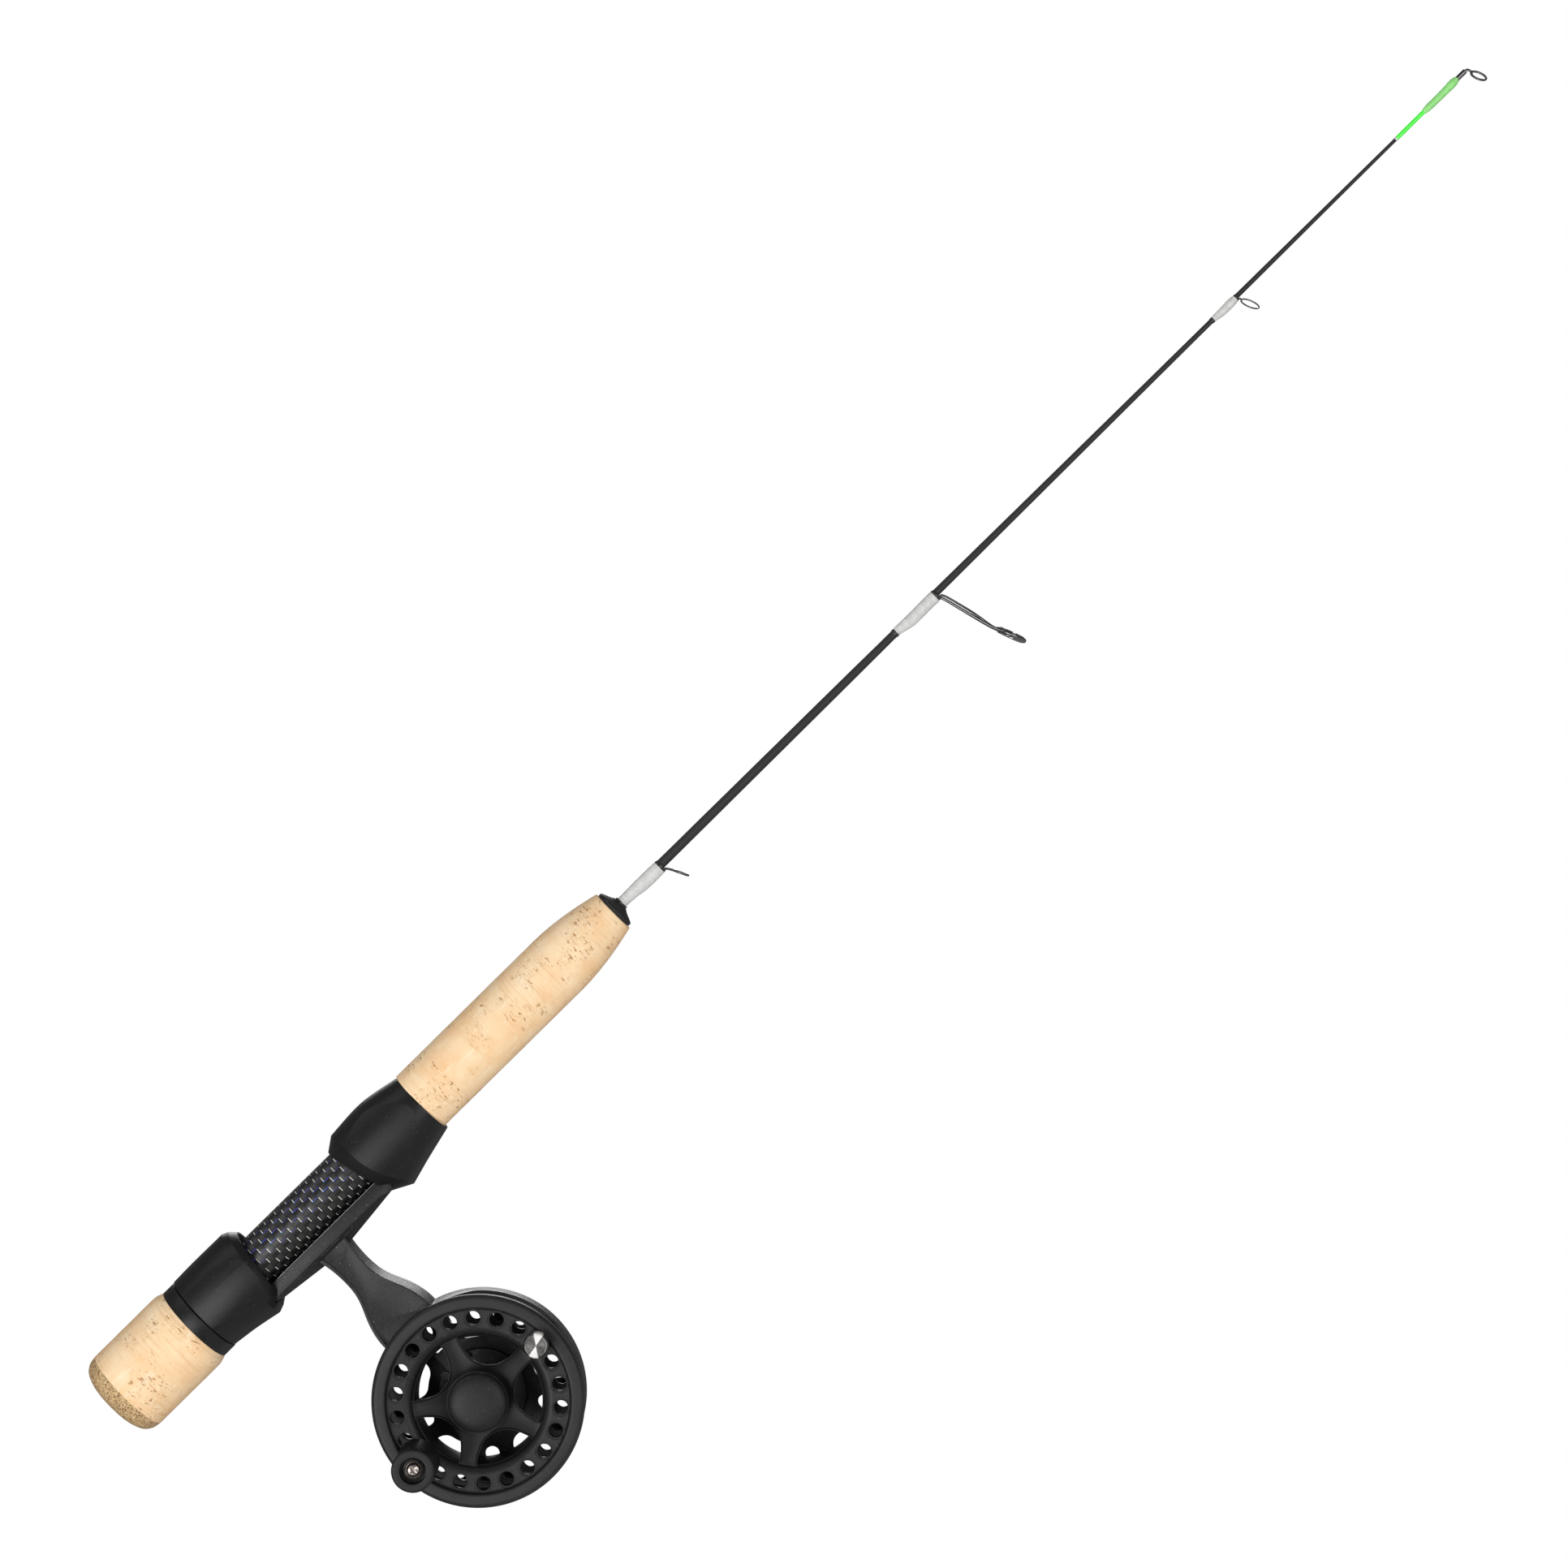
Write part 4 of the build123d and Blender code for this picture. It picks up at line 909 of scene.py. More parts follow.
def make_front_hood():
    rear = (22.95, 9.05, -13.9, 9.6, 5.9)
    crease = (28.45, 12.2, -17.3, 12.7, 8.1)
    middle = (40.0, 12.9, -14.8, 13.0, 3.0)
    front = (52.5, 10.5, -12.1, 11.2, 0.0)
    cheeks = [(10.0, 14.4, -18.4, 11.7, 0.0), (60.0, 14.4, -18.4, 11.7, 0.0)]
    bores = [
        turned_on_rod(
            "tube_bore", [(0, 0), (0, 8.85), (28, 8.85), (28, 8.26), (49.05, 8.26), (49.05, 0)], 128
        ),
        turned_on_rod("blank_bore", [(40, 0), (40, 2.15), (60, 2.15), (60, 0)], 48),
        foot_bed("foot_room", 0.1),
    ]
    return make_hood("front_hood_nylon", [rear] + between([crease, middle, front], 10), cheeks, bores)


def make_rear_hood():
    end = (-43.9, 14.1, -13.7, 13.9, 0.0)
    waist = (-35.6, 14.3, -14.8, 14.0, 0.0)
    crease = (-24.6, 14.2, -16.5, 13.4, -4.3)
    lip = (-22.4, 13.2, -15.6, 13.2, -3.9)
    mouth = (-20.3, 11.2, -14.0, 12.0, -3.5)
    cheeks = [(-50.0, 16.5, -18.3, 13.3, 0.0), (-10.0, 15.85, -17.95, 12.8, 0.0)]
    bores = [
        turned_on_rod(
            "tube_bore", [(-60, 0), (-60, 8.3), (-33.5, 8.3), (-33.5, 10.6), (0, 10.6), (0, 0)], 128
        ),
        foot_bed("foot_room", 0.3),
    ]
    return make_hood("rear_hood_nylon", between([end, waist, crease], 10) + [lip, mouth], cheeks, bores)


def hood_neck():
    """The grooved neck that the rear grip's ring turns on, behind the rear hood."""
    outline = [(-46.4, 8.35, 0), (-46.4, 11.2, 0.1), (-45.5, 11.2, 0.1), (-45.5, 10.4, 0), (-43.7, 10.4, 0),
               (-43.7, 8.35, 0)]
    return smooth(turned_on_rod("rear_hood_neck", eased(outline), 96, closed=True))


dress(make_fore_grip(), "rod", CORK_FORE, "fore_grip")
dress(make_rear_grip(), "rear_grip", CORK_REAR, "rear_grip")
dress(make_butt_cap(), "rear_grip", BURL, "butt_cap")
dress(make_lock_ring(), "rear_grip", SEAT_PLASTIC, "lock_ring")
dress(make_winding_check(), "rod", RUBBER, "winding_check")
dress(make_seat_tube(), "rod", WEAVE, "seat_tube")
dress(make_rod_blank(), "rod", BLANK_LACQUER, "rod_blank")
dress(make_front_hood(), "rod", SEAT_PLASTIC, "front_hood")
dress(joined([make_rear_hood(), hood_neck()]), "rear_hood", SEAT_PLASTIC, "rear_hood")


# ---- wraps and guides

WRAP_CUTS = 6
TRIM_CUTS = 3


def make_wrap(name, stations, cuts=WRAP_CUTS):
    """A thread wrap through (distance, top, bottom), round in section."""
    rows = [(d, top, bottom, (top - bottom) / 2, 0.0) for d, top, bottom in between(stations, cuts)]
    return smooth(lofted(name, rows, 48), 50)


def make_trim(name, near, far):
    """The narrow bands at the two ends of a wrap, as one piece."""
    return joined([make_wrap(name, near, TRIM_CUTS), make_wrap("trim", far, TRIM_CUTS)])


def tube_wire(name, points, radius):
    """A round wire along a smooth line through its bends, as a mesh."""
    line = bpy.data.curves.new(name, "CURVE")
    line.dimensions = "3D"
    line.bevel_depth = radius * MM
    line.bevel_resolution = 5
    line.resolution_u = 10
    line.use_fill_caps = True
    spline = line.splines.new("NURBS")
    spline.points.add(len(points) - 1)
    for knot, place in zip(spline.points, points):
        knot.co = (*place, 1.0)
    spline.use_endpoint_u = True
    spline.order_u = 3
    wire = bpy.data.objects.new(name, line)
    bpy.context.scene.collection.objects.link(wire)
    only(wire)
    bpy.ops.object.convert(target="MESH")
    wire = bpy.context.object
    bpy.ops.object.mode_set(mode="EDIT")
    close_mesh()
    bpy.ops.object.mode_set(mode="OBJECT")
    return smooth(wire, 50)


def ring_place(centre, tilt, turn, around, ring_r):
    """A point on a ring's wire; around is measured from its highest point."""
    turned = Matrix.Rotation(math.radians(turn), 4, "Z") @ Matrix.Rotation(math.radians(90 - tilt), 4, "Y")
    return on_rod(*centre) + turned @ Vector((-math.cos(around), math.sin(around), 0)) * ring_r * MM


def make_ring(name, centre, tilt, ring_r, wire_r, turn):
    """A ring of round wire, tilted from upright and turned about the vertical, in degrees."""
    bpy.ops.object.select_all(action="DESELECT")
    bpy.ops.mesh.primitive_torus_add(
        major_radius=ring_r * MM, minor_radius=wire_r * MM, major_segments=72, minor_segments=16,
        location=on_rod(*centre), rotation=(0, math.radians(90 - tilt), math.radians(turn)))
    ring = settle(bpy.context.object)
    ring.name = name
    return smooth(ring, 60)


def make_wire_guide(name, foot, bend, centre, tilt, ring_r, wire_r, turn=0.0):
    """A small guide bent from one wire: foot, leg and ring."""
    ring = make_ring(name, centre, tilt, ring_r, wire_r, turn)
    crown = ring_place(centre, tilt, turn, 0.0, ring_r)
    beside = ring_place(centre, tilt, turn, 0.7, ring_r)
    knee = on_rod(bend[0] + 0.5, 0, bend[1])
    leg = tube_wire("leg", [on_rod(foot, 0, bend[1]), on_rod(bend[0] - 0.4, 0, bend[1]), knee,
                            knee.lerp(crown, 0.6), crown, beside], wire_r)
    return joined([ring, leg])


STRIPPER_AT = (290.6, 0, -26.2)
STRIPPER_TILT = 21


def tilted_ring(name, profile):
    """A body turned about Y at the origin, tipped over to the large guide's ring."""
    piece = turned_about(name, Vector((0, 0, 0)), eased(profile), 96, closed=True)
    tip_over = Matrix.Rotation(math.radians(90 - STRIPPER_TILT), 4, "Y")
    lay_flat = Matrix.Rotation(math.radians(90), 4, "X")
    piece.data.transform(Matrix.Translation(on_rod(*STRIPPER_AT)) @ tip_over @ lay_flat)
    return smooth(piece, 50)


def make_stripper():
    """The large guide: a flat foot, two splayed legs, a brace, and a frame ring for the insert."""
    ring_r = 4.9
    leg_r = 0.43
    brace_r = 0.38
    parts = []
    parts.append(tilted_ring("stripper_frame_wire", [
        (-0.75, 4.32, 0.15), (-0.75, 5.1, 0.3), (-0.3, 5.45, 0.35), (0.3, 5.45, 0.35), (0.75, 5.1, 0.3),
        (0.75, 4.32, 0.15)]))
    for side in (-1, 1):
        side_place = ring_place(STRIPPER_AT, STRIPPER_TILT, 0, side * math.radians(58), ring_r + 0.1)
        late_place = ring_place(STRIPPER_AT, STRIPPER_TILT, 0, side * math.radians(80), ring_r + 0.1)
        root = on_rod(282.2, side * 0.55, -1.75)
        parts.append(tube_wire("leg", [
            on_rod(279.0, side * 0.55, -1.75), root, on_rod(283.1, side * 0.62, -2.1),
            on_rod(284.0, side * 0.9, -5.0), on_rod(286.3, side * 1.9, -14.0),
            on_rod(288.2, side * 3.2, -20.8), side_place, late_place], leg_r))
    crown = ring_place(STRIPPER_AT, STRIPPER_TILT, 0, 0.0, ring_r)
    parts.append(tube_wire("brace", [
        on_rod(280.0, 0, -1.6), on_rod(283.4, 0, -1.5), on_rod(284.2, 0, -2.2), on_rod(285.2, 0, -5.5),
        on_rod(287.4, 0, -14.0), crown + Vector((-0.6, 0, 1.4)) * MM, crown], brace_r))
    foot = plate("foot", [(on_rod(d).x, z * MM) for d, z in (
        (268.0, -1.3), (282.9, -1.2), (283.2, -2.0), (282.6, -2.2), (271.5, -2.15))], -1.0 * MM, 1.0 * MM)
    bpy.ops.object.mode_set(mode="OBJECT")
    parts.append(soften(settle(foot), 0.2, 2, 20))
    return joined(parts)


def make_insert():
    """The polished ring in the large guide, with a rounded bore."""
    return tilted_ring("stripper_insert", [
        (-1.0, 3.72, 0.5), (-1.0, 4.38, 0.12), (1.0, 4.38, 0.12), (1.0, 3.72, 0.5), (0.5, 3.5, 0.4),
        (-0.5, 3.5, 0.4)])


TWIST = 12.0  # degrees that the middle guide and the tip ring are twisted about the vertical

dress(make_wrap("keeper_wrap_thread", [(142.5, 1.9, -1.9), (144.5, 1.92, -1.92), (147.5, 2.0, -2.15),
                                       (150.5, 2.05, -2.6), (154.0, 2.05, -2.78), (157.5, 2.0, -2.75),
                                       (158.9, 1.92, -2.68)]),
      "rod", SILVER_THREAD, "keeper_wrap")
dress(make_trim("keeper_trim_thread",
                [(141.9, 2.25, -2.25), (142.25, 2.35, -2.35), (142.6, 2.2, -2.2)],
                [(158.8, 1.85, -2.6), (159.3, 1.9, -2.62), (159.9, 1.72, -2.45)]),
      "rod", BLACK_THREAD, "keeper_trim")
dress(make_wire_guide("hook_keeper_wire", 151, (159.6, -2.03), (162.6, 0, -6.6), 26, 2.3, 0.4),
      "rod", BLACK_WIRE, "hook_keeper")

dress(make_wrap("stripper_wrap_thread", [(265.2, 1.42, -1.42), (266.2, 1.5, -1.55), (268.5, 1.52, -2.1),
                                         (271.0, 1.5, -2.6), (274.0, 1.5, -2.68), (279.0, 1.58, -2.62),
                                         (281.2, 1.6, -2.7), (282.0, 1.5, -2.6)]),
      "rod", SILVER_THREAD, "stripper_wrap")
dress(make_trim("stripper_trim_thread",
                [(264.2, 1.4, -1.4), (264.7, 1.5, -1.5), (265.3, 1.45, -1.45)],
                [(281.95, 1.45, -2.5), (282.5, 1.52, -2.52), (283.0, 1.35, -2.3)]),
      "rod", BLACK_THREAD, "stripper_trim")
dress(make_stripper(), "rod", BLACK_WIRE, "stripper_frame")
dress(make_insert(), "rod", INSERT_METAL, "stripper_ring")

dress(make_wrap("mid_wrap_thread", [(407.2, 0.95, -0.98), (408.2, 1.0, -1.15), (410.3, 1.1, -1.55),
                                    (412.5, 1.16, -1.68), (414.3, 1.28, -1.68), (415.8, 1.15, -1.6),
                                    (416.9, 0.98, -1.45)]),
      "rod", SILVER_THREAD, "mid_wrap")
dress(make_trim("mid_trim_thread",
                [(406.2, 0.92, -0.94), (406.7, 1.0, -1.02), (407.3, 0.96, -0.98)],
                [(416.8, 0.96, -1.42), (417.25, 1.0, -1.4), (417.7, 0.9, -1.25)]),
      "rod", BLACK_THREAD, "mid_trim")
dress(make_wire_guide("mid_guide_wire", 410, (417.5, -1.1), (419.0, 0, -4.7), 21, 3.1, 0.25, TWIST),
      "rod", BLACK_WIRE, "mid_guide")

dress(smooth(turned_on_rod("tip_sleeve_green", eased([
    (489.4, 0.5, 0), (504.0, 0.5, 0), (504.0, 0.72, 0.1), (489.4, 0.72, 0.1)]), 48, closed=True)),
      "rod", GREEN_PAINT, "tip_sleeve")
dress(smooth(turned_on_rod("sleeve_band_white", eased([
    (488.7, 0.5, 0), (489.4, 0.5, 0), (489.4, 0.74, 0.1), (488.7, 0.74, 0.1)]), 48, closed=True)),
      "rod", WHITE_PAINT, "sleeve_band")
dress(make_wrap("tip_wrap_thread", [(501.4, 0.74, -0.76), (502.0, 0.95, -1.0), (503.4, 1.1, -1.2),
                                    (507.0, 1.12, -1.3), (511.5, 1.2, -1.35), (513.6, 1.4, -1.4),
                                    (515.2, 1.25, -1.25), (516.4, 0.9, -0.92)]),
      "rod", GREEN_THREAD, "tip_wrap")
dress(smooth(turned_on_rod("tip_top_sleeve", eased([
    (506.0, 0.48, 0), (519.95, 0.48, 0), (519.95, 0.85, 0.25), (506.0, 0.85, 0.1)]), 48, closed=True)),
      "rod", BLACK_WIRE, "tip_top_tube")


def make_tip_ring():
    """The ring at the tip, and the bent wire that holds it in its sleeve."""
    centre = (521.9, 0, -4.1)
    tilt = 20.5
    ring_r = 2.6
    ring = make_ring("tip_top_wire", centre, tilt, ring_r, 0.36, TWIST)
    crown = ring_place(centre, tilt, TWIST, 0.0, ring_r)
    beside = ring_place(centre, tilt, TWIST, 0.8, ring_r)
    leg = tube_wire("leg", [on_rod(518.4, 0, 0.0), on_rod(519.9, 0, 0.0), on_rod(520.7, 0, -0.1),
                            crown + Vector((0.1, 0, 0.5)) * MM, crown, beside], 0.42)
    return joined([ring, leg])


dress(make_tip_ring(), "rod", BLACK_WIRE, "tip_top_ring")


# ---- the reel

def circle_place(turn, radius=HOLES_AT):
    """A point on a circle round the reel's middle, at this turn from +X toward +Z."""
    return on_reel(radius * math.cos(turn), 0, radius * math.sin(turn))


def repeated(first, turns):
    """A piece and its copies at these turns about the reel's axle, as one."""
    copies = [copied(first, "repeat", turned_matrix(REEL, Y_AXIS, -turn)) for turn in turns]
    return joined([first] + copies)


def knurled(name, centre, teeth, outer, inner, bore, front, back, ease):
    """A toothed ring: a many-sided ring with every second corner drawn in, and its ends eased."""
    bpy.ops.object.select_all(action="DESELECT")
    middle = Vector((centre.x, front * MM, centre.z))
    bpy.ops.mesh.primitive_circle_add(vertices=teeth * 2, radius=outer * MM, location=middle,
                                      rotation=(math.pi / 2, 0, 0))
    piece = settle(bpy.context.object)
    piece.name = name
    bpy.ops.object.mode_set(mode="EDIT")
    bpy.ops.mesh.select_mode(type="VERT")
    mesh = bmesh.from_edit_mesh(piece.data)
    mesh.verts.ensure_lookup_table()
    for corner in mesh.verts:
        corner.select = corner.index % 2 == 0
    bmesh.update_edit_mesh(piece.data)
    draw_in = inner / outer
    bpy.ops.transform.resize(value=(draw_in, 1, draw_in), center_override=middle)
    bpy.ops.mesh.select_all(action="SELECT")
    shoulder = (inner - ease) / inner
    rise = Vector((0, ease * MM, 0))
    depth = Vector((0, (back - front) * MM, 0))
    bpy.ops.mesh.extrude_region_move(TRANSFORM_OT_translate={"value": rise})
    bpy.ops.mesh.extrude_region_move(TRANSFORM_OT_translate={"value": depth - 2 * rise})
    bpy.ops.mesh.extrude_region_move(TRANSFORM_OT_translate={"value": rise})
    bpy.ops.transform.resize(value=(shoulder, 1, shoulder), center_override=middle + depth)
    bpy.ops.mesh.extrude_region_move(TRANSFORM_OT_translate={"value": (0, 0, 0)})
    narrow = bore / (inner * shoulder)
    bpy.ops.transform.resize(value=(narrow, 1, narrow), center_override=middle + depth)
    bpy.ops.mesh.extrude_region_move(TRANSFORM_OT_translate={"value": -depth})
    bpy.ops.mesh.select_all(action="DESELECT")
    mesh = bmesh.from_edit_mesh(piece.data)
    for corner in mesh.verts:
        reach = math.hypot(corner.co.x - centre.x, corner.co.z - centre.z)
        corner.select = abs(corner.co.y - front * MM) < 1e-6 and reach > (inner - 0.3) * MM
    mesh.select_flush_mode()
    bmesh.update_edit_mesh(piece.data)
    bpy.ops.transform.resize(value=(shoulder, 1, shoulder), center_override=middle)
    bpy.ops.mesh.select_all(action="SELECT")
    bpy.ops.mesh.select_non_manifold()
    bpy.ops.mesh.bridge_edge_loops()
    close_mesh()
    bpy.ops.object.mode_set(mode="OBJECT")
    return settle(piece)


def make_flange_disc():
    """The spool's palming flange: rim, holed ring and eye. The crank and the weight take two places."""
    outline = [
        (-9.0, 20.2, 0), (-10.0, 20.2, 0.2), (-10.3, 20.9, 0.5), (-11.5, 21.4, 0.8), (-12.4, 22.9, 0.9),
        (-12.4, 28.7, 0.2), (-12.7, 29.2, 0.25), (-14.2, 29.4, 0.35), (-14.5, 29.9, 0.3), (-14.5, 32.9, 0.7),
        (-13.4, 33.75, 0.6), (-12.4, 33.8, 0.1), (-12.4, 33.5, 0.1), (-8.4, 33.5, 0.1), (-7.9, 33.4, 0.15),
        (-7.9, 32.1, 0.2), (-9.4, 31.0, 0.4), (-9.0, 30.0, 0.4)]
    disc = turned_about("spool_flange_composite", REEL, eased(outline), 220, closed=True)
    taken = (0, HOLES // 2)
    places = [place for place in range(HOLES) if place not in taken]
    drill = [(-15, 0), (-15, 2.95), (-12.35, 2.95), (-12.1, 2.85), (-12.1, 2.4), (-11.9, 2.22), (-8.0, 2.22),
             (-8.0, 0)]
    first = turned_about("drill", circle_place(places[0] * STEP), drill, 40)
    combine(disc, repeated(first, [(place - places[0]) * STEP for place in places[1:]]), "DIFFERENCE")
    return smooth(disc, 32)


SPOKES = 5


def make_spider():
    """The five spokes of the spool's front and the web that joins them, with a thin raised edge."""
    half = [(21.6, 3.1), (19.0, 2.8), (17.0, 2.9), (15.0, 3.2), (13.4, 3.6), (12.0, 4.2), (10.9, 5.1),
            (9.6, 6.2)]
    arm = [(x, -z) for x, z in half[::-1]] + half
    outline = []
    for spoke in range(SPOKES):
        turn = Matrix.Rotation(spoke * math.tau / SPOKES, 2)
        outline += [turn @ Vector(corner) for corner in arm]
    spider = plate("spider", [(REEL.x + x * MM, REEL.z + z * MM) for x, z in outline], -10.9 * MM, -9.0 * MM)
    pick_faces(spider, lambda middle, normal: normal.y < -0.9)
    bpy.ops.mesh.inset(thickness=0.42 * MM, depth=0)
    bpy.ops.mesh.inset(thickness=0.15 * MM, depth=-0.35 * MM)
    bpy.ops.object.mode_set(mode="OBJECT")
    bore = turned_about("bore", REEL, [(-12, 0), (-12, 4.25), (-8, 4.25), (-8, 0)], 48)
    combine(spider, bore, "DIFFERENCE")
    return soften(settle(spider), 0.14, 2, 25)


def make_front_flange():
    """The spool's whole front: flange, spokes, hub, and the fine teeth round its rim."""
    parts = [make_flange_disc(), make_spider()]
    hub = [(-11.5, 4.25, 0), (-11.5, 8.7, 0.4), (-10.3, 9.1, 0.3), (-8.2, 9.1, 0.2), (-8.2, 7.5, 0.2),
           (6.9, 7.5, 0.2), (6.9, 4.25, 0)]
    parts.append(smooth(turned_about("hub", REEL, eased(hub), 96, closed=True)))
    rim = knurled("rim", REEL, 230, 34.0, 33.72, 32.6, -12.35, -8.5, 0.12)
    parts.append(smooth(rim, 20))
    return joined(parts)


def make_arbor():
    outline = [(-9.0, 20.2, 0), (6.5, 20.2, 0), (6.5, 21.4, 0), (5.9, 21.4, 0.3), (5.6, 21.25, 0.2),
               (-8.0, 21.25, 0.2), (-8.3, 21.4, 0.3), (-9.0, 21.4, 0)]
    return smooth(turned_about("spool_arbor_composite", REEL, eased(outline), 160, closed=True))


def make_rear_flange():
    outline = [(6.5, 20.2, 0), (6.5, 30.2, 0.2), (6.9, 30.6, 0.3), (7.6, 30.6, 0.3), (8.0, 30.2, 0.2),
               (8.0, 20.2, 0)]
    disc = turned_about("spool_rear_flange_composite", REEL, eased(outline), 200, closed=True)
    drill = [(5.0, 0), (5.0, 2.9), (6.45, 2.6), (6.8, 2.27), (9.0, 2.27), (9.0, 0)]
    first = turned_about("drill", circle_place(0.0), drill, 32)
    combine(disc, repeated(first, [place * STEP for place in range(1, HOLES)]), "DIFFERENCE")
    return smooth(disc, 32)


def make_tension_knob():
    outline = [(-20.0, 0, 0), (-19.95, 3.0, 0), (-19.75, 5.6, 0), (-19.35, 7.6, 1.5), (-18.6, 9.0, 1.2),
               (-17.6, 9.4, 0.6), (-15.9, 9.4, 0.3), (-15.5, 9.0, 0), (-15.5, 4.4, 0), (-18.8, 4.4, 0),
               (-18.8, 0, 0)]
    cap = smooth(turned_about("tension_knob_cap", REEL, eased(outline, closed=False), 128), 35)
    grip = smooth(knurled("grip", REEL, 88, 10.3, 9.75, 8.2, -16.2, -12.9, 0.25), 30)
    return joined([cap, grip])


def make_crank_knob():
    outline = [(-40.0, 4.1, 0.3), (-40.0, 6.3, 0.35), (-39.5, 6.8, 0.35), (-37.1, 6.8, 0.35),
               (-36.6, 6.45, 0.25), (-33.0, 6.2, 1.5), (-28.0, 6.08, 2.0), (-21.0, 6.2, 2.0),
               (-17.0, 6.6, 1.0), (-15.6, 6.9, 0.4), (-14.8, 6.5, 0.3), (-14.8, 3.0, 0), (-35.7, 3.0, 0),
               (-35.7, 4.1, 0.2)]
    return smooth(turned_about("crank_knob_grip", CRANK, eased(outline), 128, closed=True), 35)


def make_knob_screw():
    """A small round-headed screw with a cross recess, on the washer that keeps the knob on."""
    outline = [(-36.4, 0, 0), (-36.4, 2.3, 0.1), (-37.0, 2.3, 0.3), (-37.6, 1.8, 0.6), (-37.8, 0.9, 0.5),
               (-37.85, 0, 0)]
    head = turned_about("knob_screw_steel", CRANK, eased(outline, closed=False), 64)
    heart = Vector((CRANK.x, -37.95 * MM, CRANK.z))
    for across, tall in ((1.4, 0.36), (0.36, 1.4)):
        reach = Vector((across, 0.95, tall)) * MM
        combine(head, block("slot", heart - reach, heart + reach), "DIFFERENCE")
    pit = turned_about("pit", CRANK, [(-38.5, 0), (-38.5, 1.05), (-37.4, 0.8), (-36.8, 0.3), (-36.8, 0)], 32)
    combine(head, pit, "DIFFERENCE")
    washer = turned_about("washer", CRANK, eased([(-36.4, 0, 0), (-36.4, 3.4, 0.12), (-36.02, 3.4, 0.1),
                                                  (-36.02, 0, 0)], closed=False), 64)
    shank = turned_about("shank", CRANK, eased([(-36.1, 0, 0), (-36.1, 1.1, 0), (-29.5, 1.1, 0.3),
                                                (-29.5, 0, 0)], closed=False), 32)
    return joined([soften(head, 0.08, 2, 30), smooth(washer), smooth(shank)])


def make_handle_post():
    outline = [(-36.0, 1.1, 0), (-36.0, 2.0, 0.2), (-14.5, 2.0, 0), (-14.5, 2.4, 0.1), (-12.4, 2.4, 0),
               (-12.4, 2.0, 0), (-9.0, 2.0, 0), (-9.0, 1.1, 0)]
    return smooth(turned_about("handle_post_steel", CRANK, eased(outline), 48, closed=True))


def make_reel_frame():
    """The frame, with the recess in the stem's face carried up to the foot's lower edge."""
    sides = [(4.35, -12.7), (4.2, -15.0), (3.85, -16.9)]
    outline = [(REEL.x - x * MM, z * MM) for x, z in sides]
    outline += [(REEL.x + x * MM, z * MM) for x, z in sides[::-1]]
    reach = plate("reach", outline, -9.0 * MM, -6.8 * MM)
    bpy.ops.object.mode_set(mode="OBJECT")
    settle(reach)
    piece = packed_copy("reel_frame", "reel_frame_composite", 0.4)
    combine(piece, reach, "DIFFERENCE")
    return soften(piece, 0.3, 2, 30)


def make_counterweight():
    centre = circle_place(0.0)
    outline = [(-21.0, 0, 0), (-21.32, 1.6, 0), (-21.5, 3.1, 0.15), (-21.4, 3.55, 0.2), (-20.8, 4.0, 0.25),
               (-14.55, 4.0, 0.2), (-14.5, 2.4, 0), (-12.4, 2.4, 0), (-12.4, 2.0, 0), (-9.0, 2.0, 0.2),
               (-9.0, 0, 0)]
    return smooth(turned_about("counterweight_steel", centre, eased(outline, closed=False), 96), 30)


COVER_SCREWS_AT = 9.5
COVER_SCREW_TURNS = (90, 210, 330)


def make_rear_cover():
    outline = [(15.0, 6.2, 0), (15.0, 13.4, 0.1), (17.3, 13.4, 0.4), (19.1, 12.3, 0.8), (19.45, 9.0, 0),
               (19.6, 5.0, 0.3), (19.6, 0, 0), (18.5, 0, 0), (18.5, 6.2, 0)]
    profile = eased(outline, closed=False) + [(15.0, 6.2)]
    cover = turned_about("rear_cover_composite", REEL, profile, 128)
    sink = [(17.4, 0), (17.4, 2.0), (19.3, 2.05), (21.0, 2.3), (21.0, 0)]
    clearance = [(14, 0), (14, 0.9), (17.5, 0.9), (17.5, 0)]
    for turn in COVER_SCREW_TURNS:
        place = circle_place(math.radians(turn), COVER_SCREWS_AT)
        combine(cover, turned_about("drill", place, sink, 40), "DIFFERENCE")
        combine(cover, turned_about("drill", place, clearance, 24), "DIFFERENCE")
    return smooth(cover, 32)


def make_cover_screws():
    """Three slotted screws, sunk in the rear cover."""
    first, *others = COVER_SCREW_TURNS
    place = circle_place(math.radians(first), COVER_SCREWS_AT)
    outline = [(15.0, 0, 0), (15.0, 0.88, 0), (17.4, 0.88, 0), (17.4, 1.8, 0.1), (18.2, 1.8, 0.35),
               (18.55, 1.1, 0.4), (18.62, 0, 0)]
    head = turned_about("cover_screws_steel", place, eased(outline, closed=False), 48)
    slot = block("slot", place + Vector((-2.4, 18.1, -0.42)) * MM, place + Vector((2.4, 19.2, 0.42)) * MM)
    combine(head, slot, "DIFFERENCE")
    smooth(head, 30)
    return repeated(head, [math.radians(turn - first) for turn in others])


def make_spindle_shaft():
    outline = [(-18.3, 0, 0), (-18.3, 2.5, 0.3), (8.8, 2.5, 0), (8.8, 5.5, 0.1), (9.5, 5.5, 0), (9.5, 2.5, 0),
               (18.2, 2.5, 0.3), (18.2, 0, 0)]
    return smooth(turned_about("spindle_steel", REEL, eased(outline, closed=False), 48))


def make_click_spring():
    return smooth(packed_copy("click_spring", "click_spring_coil", 0), 30)


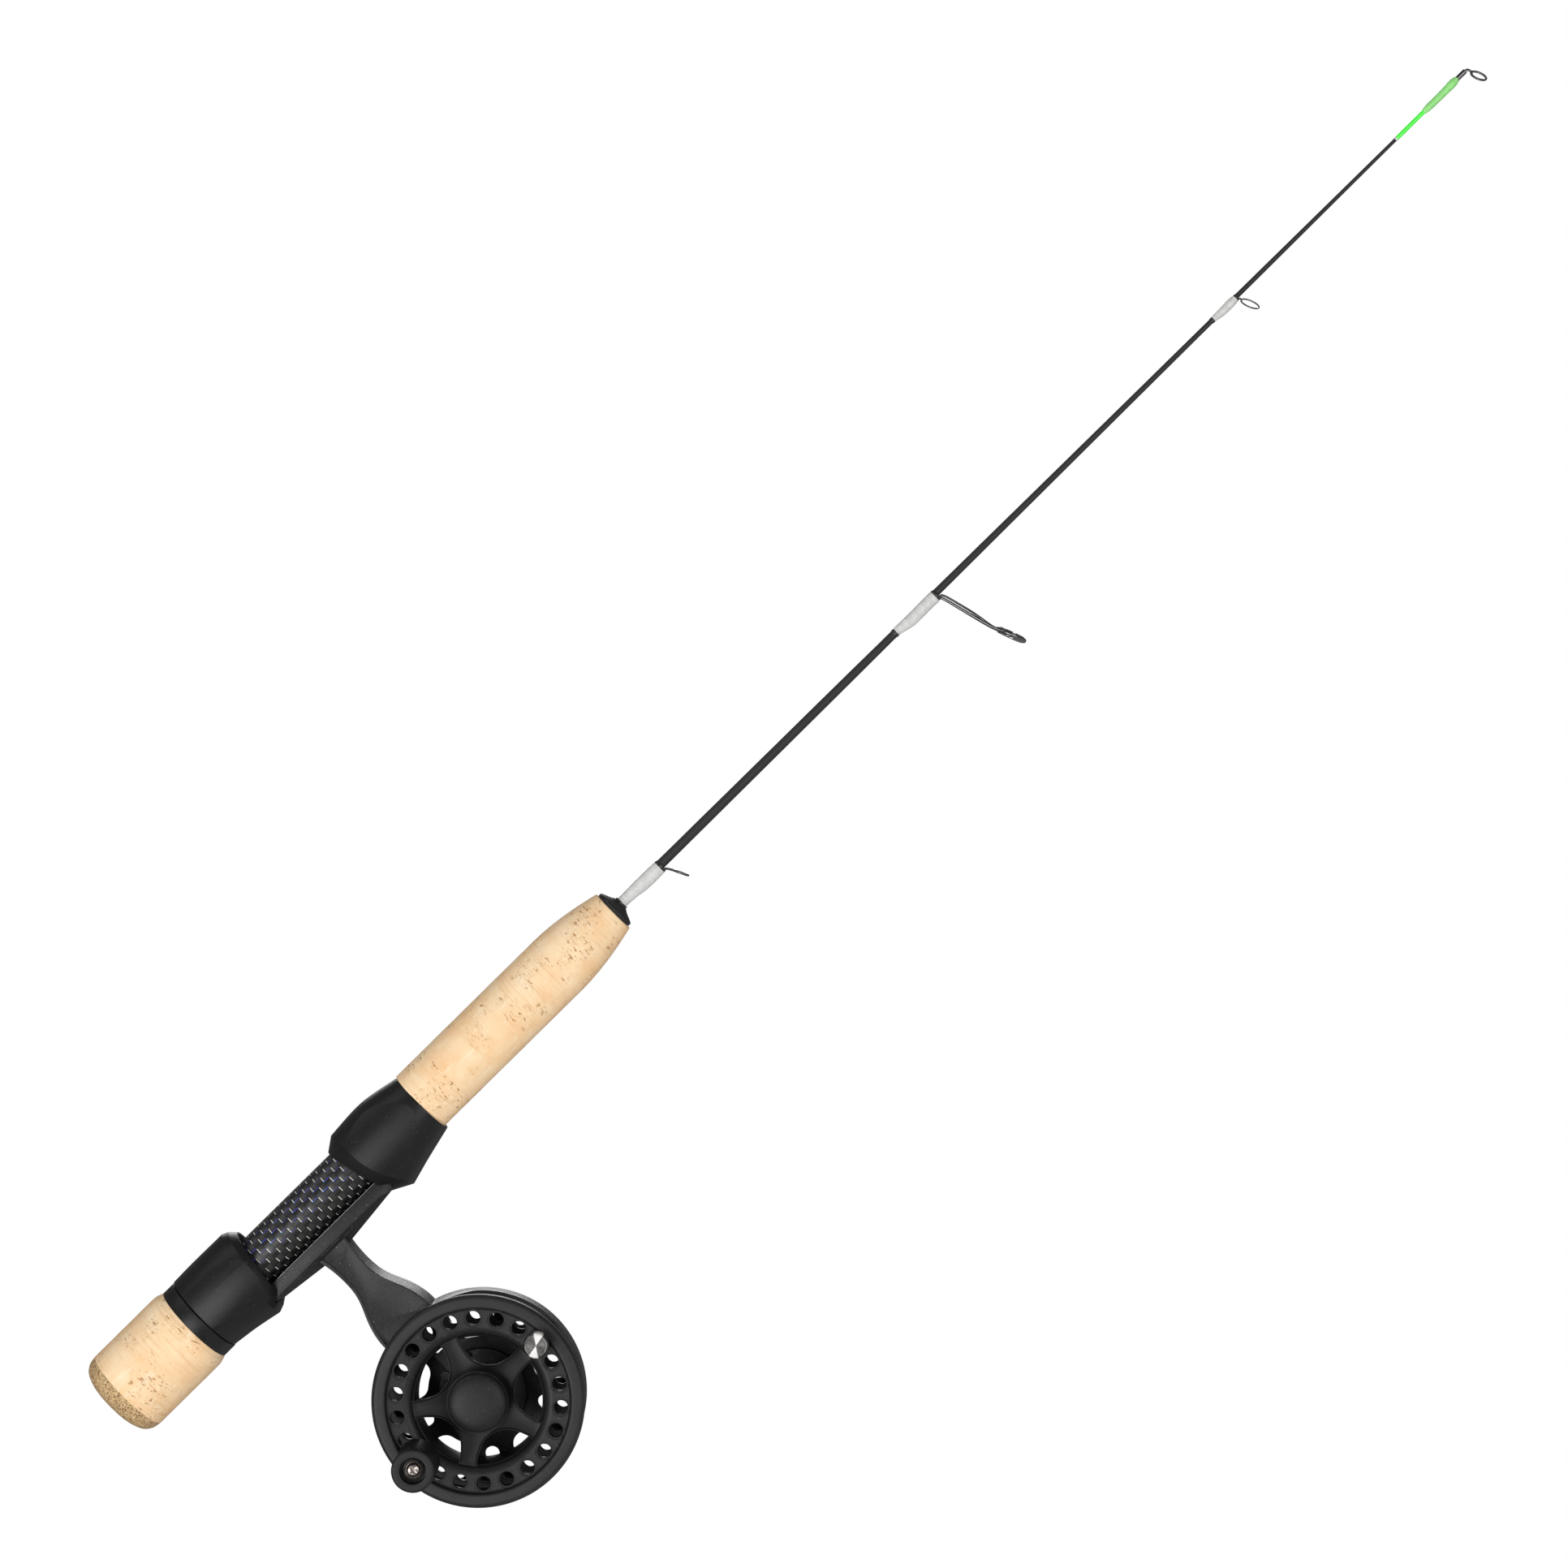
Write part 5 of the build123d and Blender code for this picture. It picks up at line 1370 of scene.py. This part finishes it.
dress(make_front_flange(), "spool", SPOOL_FACE, "spool_front_flange")
dress(make_arbor(), "spool", SPOOL_PLASTIC, "spool_arbor")
dress(make_rear_flange(), "spool", SPOOL_PLASTIC, "spool_rear_flange")
dress(make_tension_knob(), "tension_knob", GRIP_PLASTIC, "tension_knob")
dress(make_crank_knob(), "crank_knob", KNOB_PLASTIC, "handle_knob")
dress(make_knob_screw(), "spool", KNOB_SCREW, "knob_screw")
dress(make_handle_post(), "spool", STEEL, "handle_post")
dress(make_counterweight(), "spool", WEIGHT_STEEL, "counterweight")
dress(make_rear_cover(), "rod", REEL_PLASTIC, "rear_cover")
dress(make_cover_screws(), "rod", SCREW_STEEL, "cover_screws")
dress(make_spindle_shaft(), "rod", STEEL, "spindle")
dress(make_reel_frame(), "rod", REEL_PLASTIC, "reel_frame")

CLICK_SPRING = dress(make_click_spring(), "rod", STEEL, "click_spring")
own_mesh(CLICK_SPRING)


# ---------------------------------------------------------------- camera, light and floor

LEAN = math.radians(44.6)  # the rod rises to the right
CAMERA_AWAY = 1.552
FLOOR_DROP = 520
CAMERA_AT = on_rod(205.8, 0, -9.4) + Vector((0, -CAMERA_AWAY, 0))


def make_camera():
    """A long lens that looks along +Y, square to the rod."""
    lens = bpy.data.cameras.new("camera")
    lens.sensor_width = 36.0
    lens.lens = 111.8
    lens.clip_start = 0.05
    lens.clip_end = 20.0
    camera = bpy.data.objects.new("camera", lens)
    bpy.context.scene.collection.objects.link(camera)
    right = math.cos(LEAN) * X_AXIS - math.sin(LEAN) * Z_AXIS
    up = math.sin(LEAN) * X_AXIS + math.cos(LEAN) * Z_AXIS
    turn = Matrix((right, up, -Y_AXIS)).transposed().to_4x4()
    camera.matrix_world = Matrix.Translation(CAMERA_AT) @ turn
    bpy.context.scene.camera = camera


def make_light(name, away, aim, size, power):
    """A square softbox at a distance from the place it aims at."""
    lamp = bpy.data.lights.new(name, "AREA")
    lamp.shape = "SQUARE"
    lamp.size = size
    lamp.energy = power
    light = bpy.data.objects.new(name, lamp)
    bpy.context.scene.collection.objects.link(light)
    light.location = aim + Vector(away)
    light.rotation_euler = (-Vector(away)).to_track_quat("-Z", "Y").to_euler()


def make_world():
    """A white backdrop that gives only a little light."""
    world = bpy.data.worlds.new("studio")
    bpy.context.scene.world = world
    world.use_nodes = True
    tree = world.node_tree
    tree.nodes.clear()
    seen = node(tree, "ShaderNodeBackground", Color=(1, 1, 1, 1), Strength=1.0)
    soft = node(tree, "ShaderNodeBackground", Color=(1, 1, 1, 1), Strength=0.18)
    path = node(tree, "ShaderNodeLightPath")
    mix = node(tree, "ShaderNodeMixShader")
    out = node(tree, "ShaderNodeOutputWorld")
    link(tree, path.outputs["Is Camera Ray"], mix.inputs[0])
    link(tree, soft.outputs[0], mix.inputs[1])
    link(tree, seen.outputs[0], mix.inputs[2])
    link(tree, mix.outputs[0], out.inputs["Surface"])


def make_floor():
    """A round pale floor, seen a little brighter than it is lit."""
    bpy.ops.object.select_all(action="DESELECT")
    bpy.ops.mesh.primitive_circle_add(vertices=96, radius=0.6, fill_type="NGON",
                                      location=on_rod(205.8, 0, -FLOOR_DROP))
    floor = settle(bpy.context.object)
    floor.name = "floor"
    material, tree, shader = new_material("pale floor", (0.9, 0.9, 0.9), 0.8, Emission_Color=(1, 1, 1, 1))
    path = node(tree, "ShaderNodeLightPath")
    glow = maths(tree, "MULTIPLY", path.outputs["Is Camera Ray"], 0.4)
    link(tree, glow, shader.inputs["Emission Strength"])
    floor.data.materials.append(material)


make_camera()
bpy.context.scene.view_settings.view_transform = "Standard"
make_world()
aimed_at = on_rod(150, 0, -20)
make_light("left softbox", (-0.75, -1.3, 0.15), aimed_at, 0.8, 15)
make_light("right softbox", (0.55, -1.4, -0.45), aimed_at, 0.7, 8)
make_light("top", (0.0, -0.5, 1.4), aimed_at, 0.8, 3)
make_light("back", (0.3, 1.5, 0.5), aimed_at, 0.9, 9)
make_floor()
